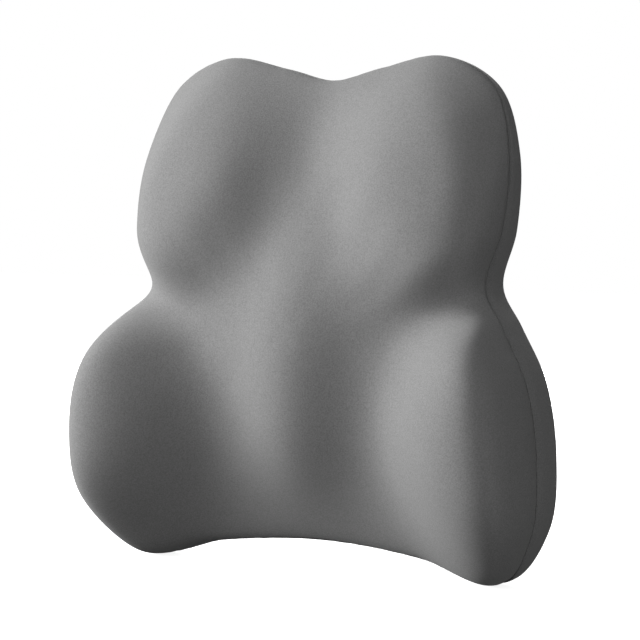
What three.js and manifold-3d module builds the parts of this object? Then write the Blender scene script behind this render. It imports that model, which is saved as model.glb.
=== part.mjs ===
// A lumbar support cushion: a moulded foam core in a thin liner and a zipped knit cover, with an elastic
// strap that clips across the back. Millimetres, +Z up. The sitter's side faces -Y, the chair's side +Y.
// Everything is designed from the chair side: the flat back panel lies at y = 0 until the last lines
// centre the whole object on its origin.
import * as THREE from "three";
import { mergeVertices } from "three/addons/utils/BufferGeometryUtils.js";
import Module from "manifold-3d";

const wasm = await Module();
wasm.setup();

// ---------------------------------------------------------------- driving dimensions

const HEART_Z = 194; // height of the point on the middle line that the outline's rings shrink towards
const HALF_OUTLINE = [ // x and z, from the notch at the top, down the right side, to the arch at the bottom
  [0, 398], [45, 408], [99, 417], [145, 393], [163, 341], [162, 280], [151, 234], [168, 203],
  [190, 160], [200, 100], [195, 42], [163, 0], [96, 14], [43, 20], [0, 22],
];
const AROUND = 48; // points round the outline
const WIDEST = -22; // y of the widest ring
const REAR_EDGE = { inset: 30, depth: 19 }; // the rounding between side and back panel
// The seam runs straight round the lower lobes, and leans towards the chair above them and at its toe.
const SEAM = { y: -54, slope: 0.127, slopeFrom: 195, soft: 20, toe: 28, toeHeight: 24 };

// Relief of the sitter's side: heights above the widest ring.
const BASE = { height: 57, tilt: -0.006, bow: -0.00094 };
const LOBES = [ // outer is how many times wider a lobe is beyond its crest
  { height: 42, x: 200, z: 116, halfWidth: 97, halfHeight: 104, turn: -0.39, sharp: 1.95, outer: 1.6 },
  { height: 34, x: 120, z: 322, halfWidth: 83, halfHeight: 103, turn: 0.39, sharp: 1.7, outer: 0.6 },
];
const CREST_BLEND = 12;
const MEETING = { z: 245, blend: 18 }; // where the lower lobes end and the upper ones begin
const WING = { lower: 42, upper: -5, from: 205 }; // a rise or fall towards the sides
const MIDDLE_ROUNDING = 15; // rounds the relief across the middle line
const SPINE = { height: 30, halfWidth: 55, z: 156, halfHeight: 100, sharp: 2.93 };
const WAIST = { depth: 45, z: 222, rise: 0.265, riseFrom: 154, halfHeight: 23, from: 141 };
const EDGE = { lower: 6, upper: 5 }; // how square the front edge is

const COVER = 1.6; // knit cover with its backing
const LINER = 0.6;
const LAYER_GAP = 0.5;
const SEW_GAP = 0.4; // between two panels where a seam joins them

const CLEARANCE = 0.3; // between pieces that touch or slide

const ZIP = { z: 78, length: 250, slot: 9, tapeWidth: 13, tape: 0.7, gap: 1.5, tapeOverhang: 9 };
const COIL = { height: 1.6, depth: 2, short: 6 }; // short: how far it ends before the slot's end
const STOP = { gap: 0.4, length: 3, overhang: 0.6, bottomLength: 4, bottomHeight: 6 };
const SLIDER = { fromEnd: 7, length: 10, width: 8, plate: 0.9, rounding: 2, lowerPlate: 1, lowerNarrow: 0.6 };
const WELD = 0.4; // how far joined pieces of a casting run into each other
const POST = { inset: 1, length: 3, width: 0.8, into: 0.5 };
const BRIDGE = { length: 6, width: 2.2, wall: 1.2, above: 2.2, opening: 1.1 }; // holds the pull
const PULL = { back: 1.2, front: 26, thick: 1.2, width: 6.8, rounding: 1, rise: 1.3 };
const PULL_WINDOW = { to: 5, halfHeight: 1.7 };
const PIN = 1.1;

const STRAP = { z: 222, width: 25, thick: 1.4, run: 11.7, flat: 2.5, sewnEnd: 118, sewnStart: 93, rise: 22 };
const STEP_POINTS = 6; // on the strap's rise from its sewn end
const RUN_START = 45; // where the strap is flat behind the cushion
const LEAD = 8; // length over which a strap bends towards a bar
const SLACK = 0.2; // between two layers of strap, besides their clearance
const LOOP_SLACK = 0.05; // round the adjuster's bar
const FOLD_GAP = 0.4; // where the return run's node begins
const PLUG_TAIL = 10; // the turned-back end at the plug
const PATCH = { width: 34, height: 38, thick: 1.2 };
const BUCKLE = { bar: 20, front: 16.5, mouth: -9, height: 33, thick: 7.9, barRadius: 1.2, rounding: 3 };
const SOCKET_WALL = 1.7;
const CHANNEL_WALL = 3; // thickness of the socket's upper and lower rims
const SOCKET_END = 3; // wall behind the prongs
const WINDOW = { fromMouth: 8, fromFront: 5 }; // openings where the prongs' heads are pressed
const ARM = { sunk: 1.4, gap: 0.5, beyondBar: 3.5 }; // the arms that carry a bar
const PLUG = { front: -9.4, back: -18, bar: -21.5, rounding: 2.5 };
const PRONG = { length: 18, width: 3, head: 9, headStep: 1, sunk: 2.3, gap: 0.5 };
const TONGUE = { length: 14, halfWidth: 2, sunk: 2.5 };
const ADJUSTER = { x: 52, length: 17, thick: 1.8, rounding: 2, bar: 3, rail: 2.6, centreBar: 1.6, drop: 6 };

const COLOURS = {
  knit: 0x8c8c8c,
  band: 0x6c6c6c,
  liner: 0xe6e4de,
  foam: 0xefe3b8,
  webbing: 0x2a2a2c,
  plastic: 0x1c1c1e,
  metal: 0x9a9a9c,
};

// ---------------------------------------------------------------- small tools

const group = new THREE.Group();

function addPiece(name, geometry, color, roughness = 0.9, metalness = 0) {
  const material = new THREE.MeshStandardMaterial({ color, roughness, metalness });
  const mesh = new THREE.Mesh(geometry, material);
  mesh.name = name;
  group.add(mesh);
}

// A closed body from rings between two poles. The rings run from the first pole outwards. Where a wall
// runs back along itself, its four-sided patches are split the other way, so that its sides stay parallel.
function closedSkin(firstPole, rings, lastPole, runsBack = () => false) {
  const positions = [firstPole, ...rings.flat(), lastPole].flatMap((p) => [p.x, p.y, p.z]);
  const count = rings[0].length;
  const at = (ring, i) => 1 + ring * count + (i % count);
  const last = 1 + rings.length * count;
  const faces = [];
  for (let i = 0; i < count; i++) {
    faces.push(0, at(0, i + 1), at(0, i));
    for (let ring = 0; ring + 1 < rings.length; ring++) {
      const [a, b, c, d] = [at(ring, i), at(ring, i + 1), at(ring + 1, i + 1), at(ring + 1, i)];
      faces.push(...(runsBack(ring) ? [a, b, d, b, c, d] : [a, c, d, a, b, c]));
    }
    faces.push(at(rings.length - 1, i), at(rings.length - 1, i + 1), last);
  }
  const geometry = new THREE.BufferGeometry();
  geometry.setAttribute("position", new THREE.Float32BufferAttribute(positions, 3));
  geometry.setIndex(faces);
  return geometry;
}

function toSolid(geometry) {
  const bare = geometry.clone();
  bare.deleteAttribute("normal");
  bare.deleteAttribute("uv");
  const merged = mergeVertices(bare, 1e-4);
  return new wasm.Manifold(new wasm.Mesh({
    numProp: 3,
    vertProperties: merged.attributes.position.array,
    triVerts: new Uint32Array(merged.index.array),
  }));
}

function toGeometry(solid) {
  const mesh = solid.getMesh();
  const geometry = new THREE.BufferGeometry();
  geometry.setAttribute("position", new THREE.BufferAttribute(mesh.vertProperties, 3));
  geometry.setIndex(new THREE.BufferAttribute(mesh.triVerts, 1));
  return geometry;
}

const joined = (...parts) => toGeometry(parts.map(toSolid).reduce((whole, part) => whole.add(part)));

function cut(body, ...holes) {
  return toGeometry(holes.map(toSolid).reduce((rest, hole) => rest.subtract(hole), toSolid(body)));
}

// A box given by its low and high corner.
function box(low, high) {
  const size = low.map((v, i) => high[i] - v);
  const middle = low.map((v, i) => (v + high[i]) / 2);
  return new THREE.BoxGeometry(...size).translate(...middle);
}

// A rod along Z.
function rod(x, y, zLow, zHigh, radius) {
  return new THREE.CylinderGeometry(radius, radius, zHigh - zLow, 12)
    .rotateX(Math.PI / 2)
    .translate(x, y, (zLow + zHigh) / 2);
}

// A block seen along Y: a rounded rectangle in X and Z, extruded between two levels of y.
function tile(xLow, xHigh, yLow, yHigh, zLow, zHigh, radius) {
  const shape = new THREE.Shape();
  shape.moveTo(xLow + radius, zLow);
  shape.lineTo(xHigh - radius, zLow);
  shape.absarc(xHigh - radius, zLow + radius, radius, -Math.PI / 2, 0);
  shape.absarc(xHigh - radius, zHigh - radius, radius, 0, Math.PI / 2);
  shape.absarc(xLow + radius, zHigh - radius, radius, Math.PI / 2, Math.PI);
  shape.absarc(xLow + radius, zLow + radius, radius, Math.PI, 1.5 * Math.PI);
  const options = { depth: yHigh - yLow, bevelEnabled: false, curveSegments: 3 };
  return new THREE.ExtrudeGeometry(shape, options).rotateX(Math.PI / 2).translate(0, yHigh, 0);
}

// A flat strap: its path in X and Y thickened to both sides and extruded across the strap's width.
function webbing(path, steps) {
  const points = path.map(([x, y]) => new THREE.Vector3(x, y, 0));
  const centre = new THREE.CatmullRomCurve3(points, false, "centripetal").getSpacedPoints(steps);
  const side = (sign) => centre.map((p, i) => {
    const before = centre[Math.max(i - 1, 0)];
    const after = centre[Math.min(i + 1, steps)];
    const along = after.clone().sub(before).normalize();
    const away = (sign * STRAP.thick) / 2;
    return new THREE.Vector2(p.x - along.y * away, p.y + along.x * away);
  });
  const shape = new THREE.Shape([...side(-1), ...side(1).reverse()]);
  const options = { depth: STRAP.width, bevelEnabled: false };
  return new THREE.ExtrudeGeometry(shape, options).translate(0, 0, STRAP.z - STRAP.width / 2);
}

// ---------------------------------------------------------------- the cushion's shape

const rightSide = HALF_OUTLINE.map(([x, z]) => new THREE.Vector3(x, 0, z));
const leftSide = HALF_OUTLINE.slice(1, -1).reverse().map(([x, z]) => new THREE.Vector3(-x, 0, z));
const outlineCurve = new THREE.CatmullRomCurve3([...rightSide, ...leftSide], true, "centripetal");
const outline = outlineCurve.getSpacedPoints(AROUND).slice(0, AROUND);

// 1 in the lower lobes, 0 in the upper ones.
const lowerShare = (z) => 1 / (1 + Math.exp((z - MEETING.z) / MEETING.blend));
const blended = (z, pair) => pair.upper + (pair.lower - pair.upper) * lowerShare(z);

function lobeHeight(lobe, side, z) {
  const outwards = Math.cos(lobe.turn) * (side - lobe.x) + Math.sin(lobe.turn) * (z - lobe.z);
  const upwards = Math.cos(lobe.turn) * (z - lobe.z) - Math.sin(lobe.turn) * (side - lobe.x);
  const beyond = (1 + Math.tanh(outwards / CREST_BLEND)) / 2;
  const width = lobe.halfWidth * (1 + (lobe.outer - 1) * beyond);
  const squared = (outwards / width) ** 2 + (upwards / lobe.halfHeight) ** 2;
  return lobe.height * Math.exp(-(squared ** lobe.sharp));
}

// Height of the sitter's side above the widest ring, before its edge is rounded.
function relief(x, z) {
  const side = Math.hypot(x, MIDDLE_ROUNDING);
  const up = z - HEART_Z;
  const acrossSpine = (x / SPINE.halfWidth) ** 2;
  const alongSpine = Math.abs((z - SPINE.z) / SPINE.halfHeight) ** SPINE.sharp;
  const grooveZ = WAIST.z + WAIST.rise * (side - WAIST.riseFrom);
  const groove = Math.exp(-(((z - grooveZ) / WAIST.halfHeight) ** 2));
  const outward = 1 - Math.exp(-((side / WAIST.from) ** 4));
  return BASE.height + BASE.tilt * up + BASE.bow * up ** 2
    + LOBES.reduce((sum, lobe) => sum + lobeHeight(lobe, side, z), 0)
    + blended(z, WING) * (side / WING.from) ** 2
    + SPINE.height * Math.exp(-acrossSpine - alongSpine) - WAIST.depth * groove * outward;
}

// How square the front edge is at a height.
const squareness = (z) => blended(z, EDGE);

const shrunk = (p, share, y) => new THREE.Vector3(p.x * share, y, HEART_Z + (p.z - HEART_Z) * share);

// A point of the front at a turn angle: 0 at the middle of the sitter's side, 90 degrees at the widest ring.
function frontPoint(p, angle) {
  const n = squareness(p.z);
  const at = shrunk(p, Math.sin(angle) ** (2 / n), 0);
  at.y = WIDEST - relief(at.x, at.z) * Math.cos(angle) ** (2 / n);
  return at;
}

function seamY(z) {
  const leaning = SEAM.soft * Math.log1p(Math.exp((z - SEAM.slopeFrom) / SEAM.soft));
  return SEAM.y + SEAM.slope * leaning + SEAM.toe * Math.exp(-z / SEAM.toeHeight);
}

// The turn angle at which the front meets the seam.
function seamAngle(p) {
  const share = (WIDEST - seamY(p.z)) / relief(p.x, p.z);
  return Math.acos(share ** (squareness(p.z) / 2));
}

const FRONT_STEPS = [0.04, 0.09, 0.16, 0.24, 0.33, 0.43, 0.54, 0.66, 0.79, 0.91, 1];
const EDGE_STEPS = [20, 42, 66, 90].map((degrees) => (degrees * Math.PI) / 180);
const backRings = [
  outline.map((p) => shrunk(p, 1, WIDEST)),
  outline.map((p) => shrunk(p, 1, -REAR_EDGE.depth)),
  ...EDGE_STEPS.map((angle) => outline.map((p) => {
    const reach = Math.hypot(p.x, p.z - HEART_Z);
    const share = 1 - (REAR_EDGE.inset * (1 - Math.cos(angle))) / reach;
    return shrunk(p, share, -REAR_EDGE.depth * (1 - Math.sin(angle)));
  })),
];
const frontRings = FRONT_STEPS.map((step) => outline.map((p) => frontPoint(p, step * seamAngle(p))));
const rings = [...frontRings, ...backRings];
const frontPole = new THREE.Vector3(0, WIDEST - relief(0, HEART_Z), HEART_Z);
const backPole = new THREE.Vector3(0, 0, HEART_Z);

// Every ring moved inwards along the surface's own normals.
const normals = (() => {
  const geometry = closedSkin(frontPole, rings, backPole);
  geometry.computeVertexNormals();
  const all = geometry.attributes.normal;
  const normalAt = (r, i) => new THREE.Vector3().fromBufferAttribute(all, 1 + r * AROUND + i);
  return rings.map((ring, r) => ring.map((_, i) => normalAt(r, i)));
})();
const flatRing = rings.length - 1;
normals[flatRing] = normals[flatRing].map(() => new THREE.Vector3(0, 1, 0));

const inset = (r, depth) => rings[r].map((p, i) => p.clone().addScaledVector(normals[r][i], -depth));
const insetPole = (pole, depth) => pole.clone().setY(pole.y + (pole === frontPole ? depth : -depth));
const insetRings = (from, to, depth) => rings.slice(from, to + 1).map((_, i) => inset(from + i, depth));
const pushedBack = (ring, gap) => ring.map((p) => p.clone().setY(p.y + gap));

// An open shell between two depths below the surface, on the sitter's side of a ring.
function frontShell(lastRing, outer, inner) {
  const outside = insetRings(0, lastRing, outer);
  const inside = insetRings(0, lastRing, inner).reverse();
  const turn = outside.length;
  const [first, last] = [insetPole(frontPole, outer), insetPole(frontPole, inner)];
  return closedSkin(first, [...outside, ...inside], last, (r) => r >= turn);
}

// The matching shell on the chair's side, a sewing gap behind the ring.
function backShell(firstRing, outer, inner) {
  const inside = insetRings(firstRing, flatRing, inner).reverse();
  const outside = insetRings(firstRing, flatRing, outer);
  inside[inside.length - 1] = pushedBack(inside[inside.length - 1], SEW_GAP);
  outside[0] = pushedBack(outside[0], SEW_GAP);
  const turn = inside.length - 1;
  const [first, last] = [insetPole(backPole, inner), insetPole(backPole, outer)];
  return closedSkin(first, [...inside, ...outside], last, (r) => r < turn);
}

const seamRing = FRONT_STEPS.length - 1;
const widestRing = FRONT_STEPS.length;
const linerTop = COVER + LAYER_GAP;
const foamTop = linerTop + LINER + LAYER_GAP;

const [foamFront, foamBack] = [insetPole(frontPole, foamTop), insetPole(backPole, foamTop)];
addPiece("foam_core", closedSkin(foamFront, insetRings(0, flatRing, foamTop), foamBack), COLOURS.foam);
addPiece("liner_front", frontShell(widestRing, linerTop, linerTop + LINER), COLOURS.liner);
addPiece("liner_back", backShell(widestRing, linerTop, linerTop + LINER), COLOURS.liner);
addPiece("cover_front", frontShell(seamRing, 0, COVER), COLOURS.knit);

const slotEnd = ZIP.length / 2;
const slotHalf = ZIP.slot / 2;
const slot = box([-slotEnd, -COVER - 1, ZIP.z - slotHalf], [slotEnd, 1, ZIP.z + slotHalf]);
addPiece("cover_back", cut(backShell(seamRing, 0, COVER), slot), COLOURS.band);

// ---------------------------------------------------------------- zip

const tapeLow = CLEARANCE;
const tapeHigh = tapeLow + ZIP.tape;
const coilLow = tapeHigh + CLEARANCE;
const coilHigh = coilLow + COIL.depth;
const coilEnd = ZIP.length / 2 - COIL.short;
const tapeEnd = ZIP.length / 2 + ZIP.tapeOverhang;

// A block whose height runs between two levels given in either order.
function bar(xLow, xHigh, yLow, yHigh, zNear, zFar) {
  return box([xLow, yLow, Math.min(zNear, zFar)], [xHigh, yHigh, Math.max(zNear, zFar)]);
}

for (const [name, sign] of [["upper", 1], ["lower", -1]]) {
  const near = ZIP.z + (sign * ZIP.gap) / 2;
  const coilFar = near + sign * COIL.height;
  const stopLow = coilEnd + STOP.gap;
  const tape = bar(-tapeEnd, tapeEnd, tapeLow, tapeHigh, near, near + sign * ZIP.tapeWidth);
  const coil = bar(-coilEnd, coilEnd, coilLow, coilHigh, near, coilFar);
  const stop = bar(stopLow, stopLow + STOP.length, coilLow, coilHigh, near, coilFar + sign * STOP.overhang);
  addPiece("zip_tape_" + name, tape, COLOURS.webbing);
  addPiece("zip_coil_" + name, coil, COLOURS.plastic, 0.4);
  addPiece("zip_top_stop_" + name, stop, COLOURS.metal, 0.35, 1);
}
const bottomStopHigh = -coilEnd - STOP.gap;
const bottomStop = box(
  [bottomStopHigh - STOP.bottomLength, coilLow, ZIP.z - STOP.bottomHeight / 2],
  [bottomStopHigh, coilHigh, ZIP.z + STOP.bottomHeight / 2],
);
addPiece("zip_bottom_stop", bottomStop, COLOURS.metal, 0.35, 1);

const sliderX = -coilEnd + SLIDER.fromEnd;
const sliderTop = coilHigh + CLEARANCE;
const plateTop = sliderTop + SLIDER.plate;
const pinY = plateTop + PULL.rise;
const sliderLow = sliderX - SLIDER.length / 2;
const sliderHigh = sliderX + SLIDER.length / 2;
const halfSlider = SLIDER.width / 2;
const halfLower = halfSlider - SLIDER.lowerNarrow;
const lowerPlateTop = -CLEARANCE;
const lowerPlateLow = lowerPlateTop - SLIDER.lowerPlate;
const topPlate = tile(
  sliderLow, sliderHigh, sliderTop, plateTop, ZIP.z - halfSlider, ZIP.z + halfSlider, SLIDER.rounding);
const bottomPlate = tile(
  sliderLow, sliderHigh, lowerPlateLow, lowerPlateTop, ZIP.z - halfLower, ZIP.z + halfLower, SLIDER.rounding);
const postLow = sliderLow + POST.inset;
const post = box(
  [postLow, lowerPlateTop - POST.into, ZIP.z - POST.width / 2],
  [postLow + POST.length, sliderTop + WELD, ZIP.z + POST.width / 2],
);
const halfBridge = BRIDGE.length / 2;
const halfOpening = halfBridge - BRIDGE.wall;
const bridge = box(
  [sliderX - halfBridge, sliderTop + WELD, ZIP.z - BRIDGE.width / 2],
  [sliderX + halfBridge, pinY + BRIDGE.above, ZIP.z + BRIDGE.width / 2],
);
const bridgeHole = box(
  [sliderX - halfOpening, plateTop, ZIP.z - BRIDGE.width],
  [sliderX + halfOpening, pinY + BRIDGE.opening, ZIP.z + BRIDGE.width],
);
addPiece("zip_slider", joined(topPlate, bottomPlate, post, cut(bridge, bridgeHole)), COLOURS.metal, 0.35, 1);

// A block through the pull's plate, beside the middle of its height.
function throughPull(from, to, halfThick) {
  const half = PULL_WINDOW.halfHeight;
  return box(
    [sliderX + from, pinY - halfThick, ZIP.z - half],
    [sliderX + to, pinY + halfThick, ZIP.z + half],
  );
}

const pullPlate = tile(
  sliderX - PULL.back, sliderX + PULL.front, pinY - PULL.thick / 2, pinY + PULL.thick / 2,
  ZIP.z - PULL.width / 2, ZIP.z + PULL.width / 2, PULL.rounding);
const pullWindow = throughPull(-PULL.back - WELD, PULL_WINDOW.to, PULL.thick);
const pullPin = throughPull(-PIN / 2, PIN / 2, PIN / 2);
addPiece("zip_pull", joined(cut(pullPlate, pullWindow), pullPin), COLOURS.metal, 0.35, 1);

// ---------------------------------------------------------------- strap, buckle and adjuster

for (const [name, sign] of [["right", 1], ["left", -1]]) {
  const middle = sign * (STRAP.sewnStart + STRAP.sewnEnd) / 2;
  const low = [middle - PATCH.width / 2, CLEARANCE, STRAP.z - PATCH.height / 2];
  const high = [middle + PATCH.width / 2, CLEARANCE + PATCH.thick, STRAP.z + PATCH.height / 2];
  addPiece("strap_patch_" + name, box(low, high), COLOURS.webbing);
}

const wrap = BUCKLE.barRadius + CLEARANCE + STRAP.thick / 2; // from a bar's middle to the middle of its strap
const hardwareY = STRAP.run - 0.85; // middle of the buckle
const underY = STRAP.run - STRAP.thick - CLEARANCE; // the layer that returns under the run

// From a sewn end up a smooth step to the run. sign is the side of the cushion.
const sewnEnd = (sign) => [
  [sign * STRAP.sewnEnd, STRAP.flat],
  [sign * (STRAP.sewnStart + 2), STRAP.flat],
  ...Array.from({ length: STEP_POINTS + 1 }, (_, step) => {
    const u = step / STEP_POINTS;
    const lift = (STRAP.run - STRAP.flat) * u * u * (3 - 2 * u);
    return [sign * (STRAP.sewnStart - STRAP.rise * u), STRAP.flat + lift];
  }),
];

// Half a turn of strap round a bar, from above to below it in y, on one side of it in x.
const halfTurn = (x, y, radius, side) => [90, 45, 0, -45, -90].map((degrees) => {
  const angle = (degrees * Math.PI) / 180;
  return [x + side * radius * Math.cos(angle), y + radius * Math.sin(angle)];
});

const returnY = underY - SLACK;
const socketSide = [
  ...sewnEnd(1),
  [RUN_START, STRAP.run],
  [BUCKLE.bar + LEAD, STRAP.run],
  ...halfTurn(BUCKLE.bar, hardwareY, wrap, -1),
  [BUCKLE.bar + LEAD / 2, hardwareY - wrap + CLEARANCE],
];
addPiece("strap_right", webbing(socketSide, 46), COLOURS.webbing);

const centreBarY = underY - STRAP.thick / 2 - ADJUSTER.centreBar / 2 - SLACK - 2 * CLEARANCE;
const loop = (ADJUSTER.centreBar + STRAP.thick) / 2 + CLEARANCE + LOOP_SLACK;
const returnSide = [
  [BUCKLE.bar + LEAD / 2 + FOLD_GAP, hardwareY - wrap + CLEARANCE],
  [BUCKLE.bar + LEAD + 3, returnY],
  [ADJUSTER.x - 6, returnY],
  ...halfTurn(ADJUSTER.x, centreBarY, loop, 1),
  [ADJUSTER.x - 5, centreBarY - loop + SLACK],
  [ADJUSTER.x - 14, returnY - STRAP.thick - CLEARANCE],
];
addPiece("strap_return", webbing(returnSide, 36), COLOURS.webbing);

const plugSide = [
  ...sewnEnd(-1),
  [-RUN_START, STRAP.run],
  [PLUG.bar - LEAD, STRAP.run],
  ...halfTurn(PLUG.bar, hardwareY, wrap, 1),
  [PLUG.bar - LEAD, returnY],
  [PLUG.bar - LEAD - PLUG_TAIL, returnY],
];
addPiece("strap_left", webbing(plugSide, 50), COLOURS.webbing);

const halfBuckle = BUCKLE.height / 2;
const lowY = hardwareY - BUCKLE.thick / 2;
const highY = hardwareY + BUCKLE.thick / 2;
const channel = halfBuckle - CHANNEL_WALL; // half the height of the socket's inside
const armIn = STRAP.width / 2 + ARM.gap;

// The two arms and the bar that a strap wraps round.
function barFrame(xLow, xHigh, barX) {
  const arms = [1, -1].map((sign) => bar(
    xLow, xHigh, lowY + ARM.sunk, highY - ARM.sunk, STRAP.z + sign * armIn, STRAP.z + sign * halfBuckle));
  return [...arms, rod(barX, hardwareY, STRAP.z - armIn - 1, STRAP.z + armIn + 1, BUCKLE.barRadius)];
}

const buckleLow = STRAP.z - halfBuckle;
const buckleHigh = STRAP.z + halfBuckle;
const shell = tile(BUCKLE.mouth, BUCKLE.front, lowY, highY, buckleLow, buckleHigh, BUCKLE.rounding);
const cavity = box(
  [BUCKLE.mouth - 1, lowY + SOCKET_WALL, STRAP.z - channel],
  [BUCKLE.front - SOCKET_END, highY - SOCKET_WALL, STRAP.z + channel],
);
const windows = box(
  [BUCKLE.mouth + WINDOW.fromMouth, lowY + SOCKET_WALL, buckleLow - 1],
  [BUCKLE.front - WINDOW.fromFront, highY - SOCKET_WALL, buckleHigh + 1],
);
const socketFrame = barFrame(BUCKLE.front - 1, BUCKLE.bar + ARM.beyondBar, BUCKLE.bar);
addPiece("buckle_socket", joined(cut(shell, cavity, windows), ...socketFrame), COLOURS.plastic, 0.5);

const prongLow = PLUG.front - 1;
const prongTip = PLUG.front + PRONG.length;
const prongs = [1, -1].flatMap((sign) => {
  const headOuter = channel - PRONG.gap;
  const armOuter = headOuter - PRONG.headStep;
  const inner = STRAP.z + sign * (armOuter - PRONG.width);
  const [yLow, yHigh] = [lowY + PRONG.sunk, highY - PRONG.sunk];
  return [
    bar(prongLow, prongTip, yLow, yHigh, inner, STRAP.z + sign * armOuter),
    bar(prongTip - PRONG.head, prongTip, yLow, yHigh, inner, STRAP.z + sign * headOuter),
  ];
});
const tongue = box(
  [prongLow, lowY + TONGUE.sunk, STRAP.z - TONGUE.halfWidth],
  [PLUG.front + TONGUE.length, highY - TONGUE.sunk, STRAP.z + TONGUE.halfWidth],
);
const plugBase = tile(PLUG.back, PLUG.front, lowY, highY, buckleLow, buckleHigh, PLUG.rounding);
const plugFrame = barFrame(PLUG.bar - ARM.beyondBar, PLUG.back + 1, PLUG.bar);
addPiece("buckle_plug", joined(plugBase, ...prongs, tongue, ...plugFrame), COLOURS.plastic, 0.5);

const frameY = STRAP.run + STRAP.thick / 2 + CLEARANCE;
const frameLow = ADJUSTER.x - ADJUSTER.length / 2;
const frameHigh = ADJUSTER.x + ADJUSTER.length / 2;
const railIn = STRAP.width / 2 + ARM.gap;
const railOut = railIn + ADJUSTER.rail;
const outerFrame = cut(
  tile(
    frameLow, frameHigh, frameY, frameY + ADJUSTER.thick,
    STRAP.z - railOut, STRAP.z + railOut, ADJUSTER.rounding),
  box(
    [frameLow + ADJUSTER.bar, frameY - 1, STRAP.z - railIn],
    [frameHigh - ADJUSTER.bar, frameY + ADJUSTER.thick + 1, STRAP.z + railIn],
  ),
);
const halfDrop = ADJUSTER.drop / 2;
const drops = [1, -1].map((sign) => bar(
  ADJUSTER.x - halfDrop, ADJUSTER.x + halfDrop, centreBarY - ADJUSTER.centreBar / 2, frameY + 0.5,
  STRAP.z + sign * railIn, STRAP.z + sign * railOut));
const centreBar = rod(
  ADJUSTER.x, centreBarY, STRAP.z - railIn - 1, STRAP.z + railIn + 1, ADJUSTER.centreBar / 2);
addPiece("strap_adjuster", joined(outerFrame, ...drops, centreBar), COLOURS.plastic, 0.5);

// ---------------------------------------------------------------- origin

// The object's box stands centred over the origin.
const whole = new THREE.Box3().setFromObject(group);
const middle = whole.getCenter(new THREE.Vector3());
group.position.set(-middle.x, -middle.y, -whole.min.z);

export default group;
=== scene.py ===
"""Looks of a lumbar support cushion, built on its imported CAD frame.

A moulded foam core sits in a tricot liner and a zipped knit cover, and an elastic strap clips across the
back. Shapes are worked out in millimetres in the designer's frame, where the back panel lies at y = 0, and
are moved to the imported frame, in metres, when they become meshes. The sitter's side faces -Y, Z is up.
"""
import logging
import math
from collections.abc import Callable, Sequence
from dataclasses import dataclass, field
from enum import Enum

import bmesh
import bpy
import numpy as np
from mathutils import Matrix, Vector


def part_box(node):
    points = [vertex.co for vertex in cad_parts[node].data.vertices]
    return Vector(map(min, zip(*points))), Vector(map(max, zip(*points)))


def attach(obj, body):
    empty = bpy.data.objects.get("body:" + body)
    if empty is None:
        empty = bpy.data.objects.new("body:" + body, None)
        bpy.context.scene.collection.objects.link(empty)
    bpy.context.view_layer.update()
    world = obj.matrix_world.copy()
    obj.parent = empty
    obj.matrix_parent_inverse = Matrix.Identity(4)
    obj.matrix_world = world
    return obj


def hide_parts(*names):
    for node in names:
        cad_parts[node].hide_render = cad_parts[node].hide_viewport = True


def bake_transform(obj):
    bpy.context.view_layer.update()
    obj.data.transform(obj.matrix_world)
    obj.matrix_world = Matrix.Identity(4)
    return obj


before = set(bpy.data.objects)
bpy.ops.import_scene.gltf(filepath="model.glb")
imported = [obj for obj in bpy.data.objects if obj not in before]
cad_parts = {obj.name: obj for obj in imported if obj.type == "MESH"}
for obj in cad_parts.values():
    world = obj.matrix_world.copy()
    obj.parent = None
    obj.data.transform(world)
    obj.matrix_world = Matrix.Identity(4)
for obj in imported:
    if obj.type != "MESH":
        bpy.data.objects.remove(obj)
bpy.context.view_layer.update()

log = logging.getLogger("lumbar_cushion")

Array = np.ndarray
Piece = bpy.types.Object
Material = bpy.types.Material
Tree = bpy.types.NodeTree
Node = bpy.types.Node
Socket = bpy.types.NodeSocket
MM = 0.001
TAU = 2 * math.pi
TINY = 1e-9  # keeps a division by a length finite
STRAP_HEIGHT = 222.0  # z of the strap's middle in the designer's frame
CLOTH_UV = "along_cloth"  # the surface coordinates of woven pieces
MIX_LOW, MIX_HIGH, MIX_COLOUR = 6, 7, 2  # a Mix node's colour sockets, whose names its other kinds share


# ------------------------------------------------------------------ frame and small tools


class Body(Enum):
    """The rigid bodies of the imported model."""

    CUSHION = "cushion"
    SLIDER = "slider"
    PULL = "pull"
    PLUG = "plug"
    ADJUSTER = "adjuster"


class Slot(Enum):
    """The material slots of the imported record."""

    KNIT = "knit"
    KNIT_BACK = "knit_back"
    LINER = "liner"
    FOAM = "foam"
    ZIP_TAPE = "zip_tape"
    ZIP_COIL = "zip_coil"
    ZINC = "zinc"
    WEBBING = "webbing"
    PATCH = "webbing_patch"
    ACETAL = "acetal"


def design_origin() -> Array:
    """Find where the designer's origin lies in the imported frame.

    Returns:
        Its x, y and z in millimetres: the back panel gives y, and the strap's middle gives z.
    """
    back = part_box("cover_back")[1].y / MM
    strap = sum(corner.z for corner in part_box("strap_right")) / 2 / MM
    return np.array([0.0, back, strap - STRAP_HEIGHT])


ORIGIN = design_origin()


def hex_to_linear(colour: str) -> tuple[float, float, float, float]:
    """Turn an sRGB hex colour into linear RGBA.

    Args:
        colour: six hex digits, such as "8c8c8c".

    Returns:
        Linear red, green, blue and an alpha of 1. Each channel c becomes ((c + 0.055) / 1.055) to the
        power 2.4, or c / 12.92 where it is darker than 0.04045.
    """
    channels = np.array([int(colour[i:i + 2], 16) for i in (0, 2, 4)]) / 255
    linear = np.where(channels <= 0.04045, channels / 12.92, ((channels + 0.055) / 1.055) ** 2.4)
    return (*map(float, linear), 1.0)


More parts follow.
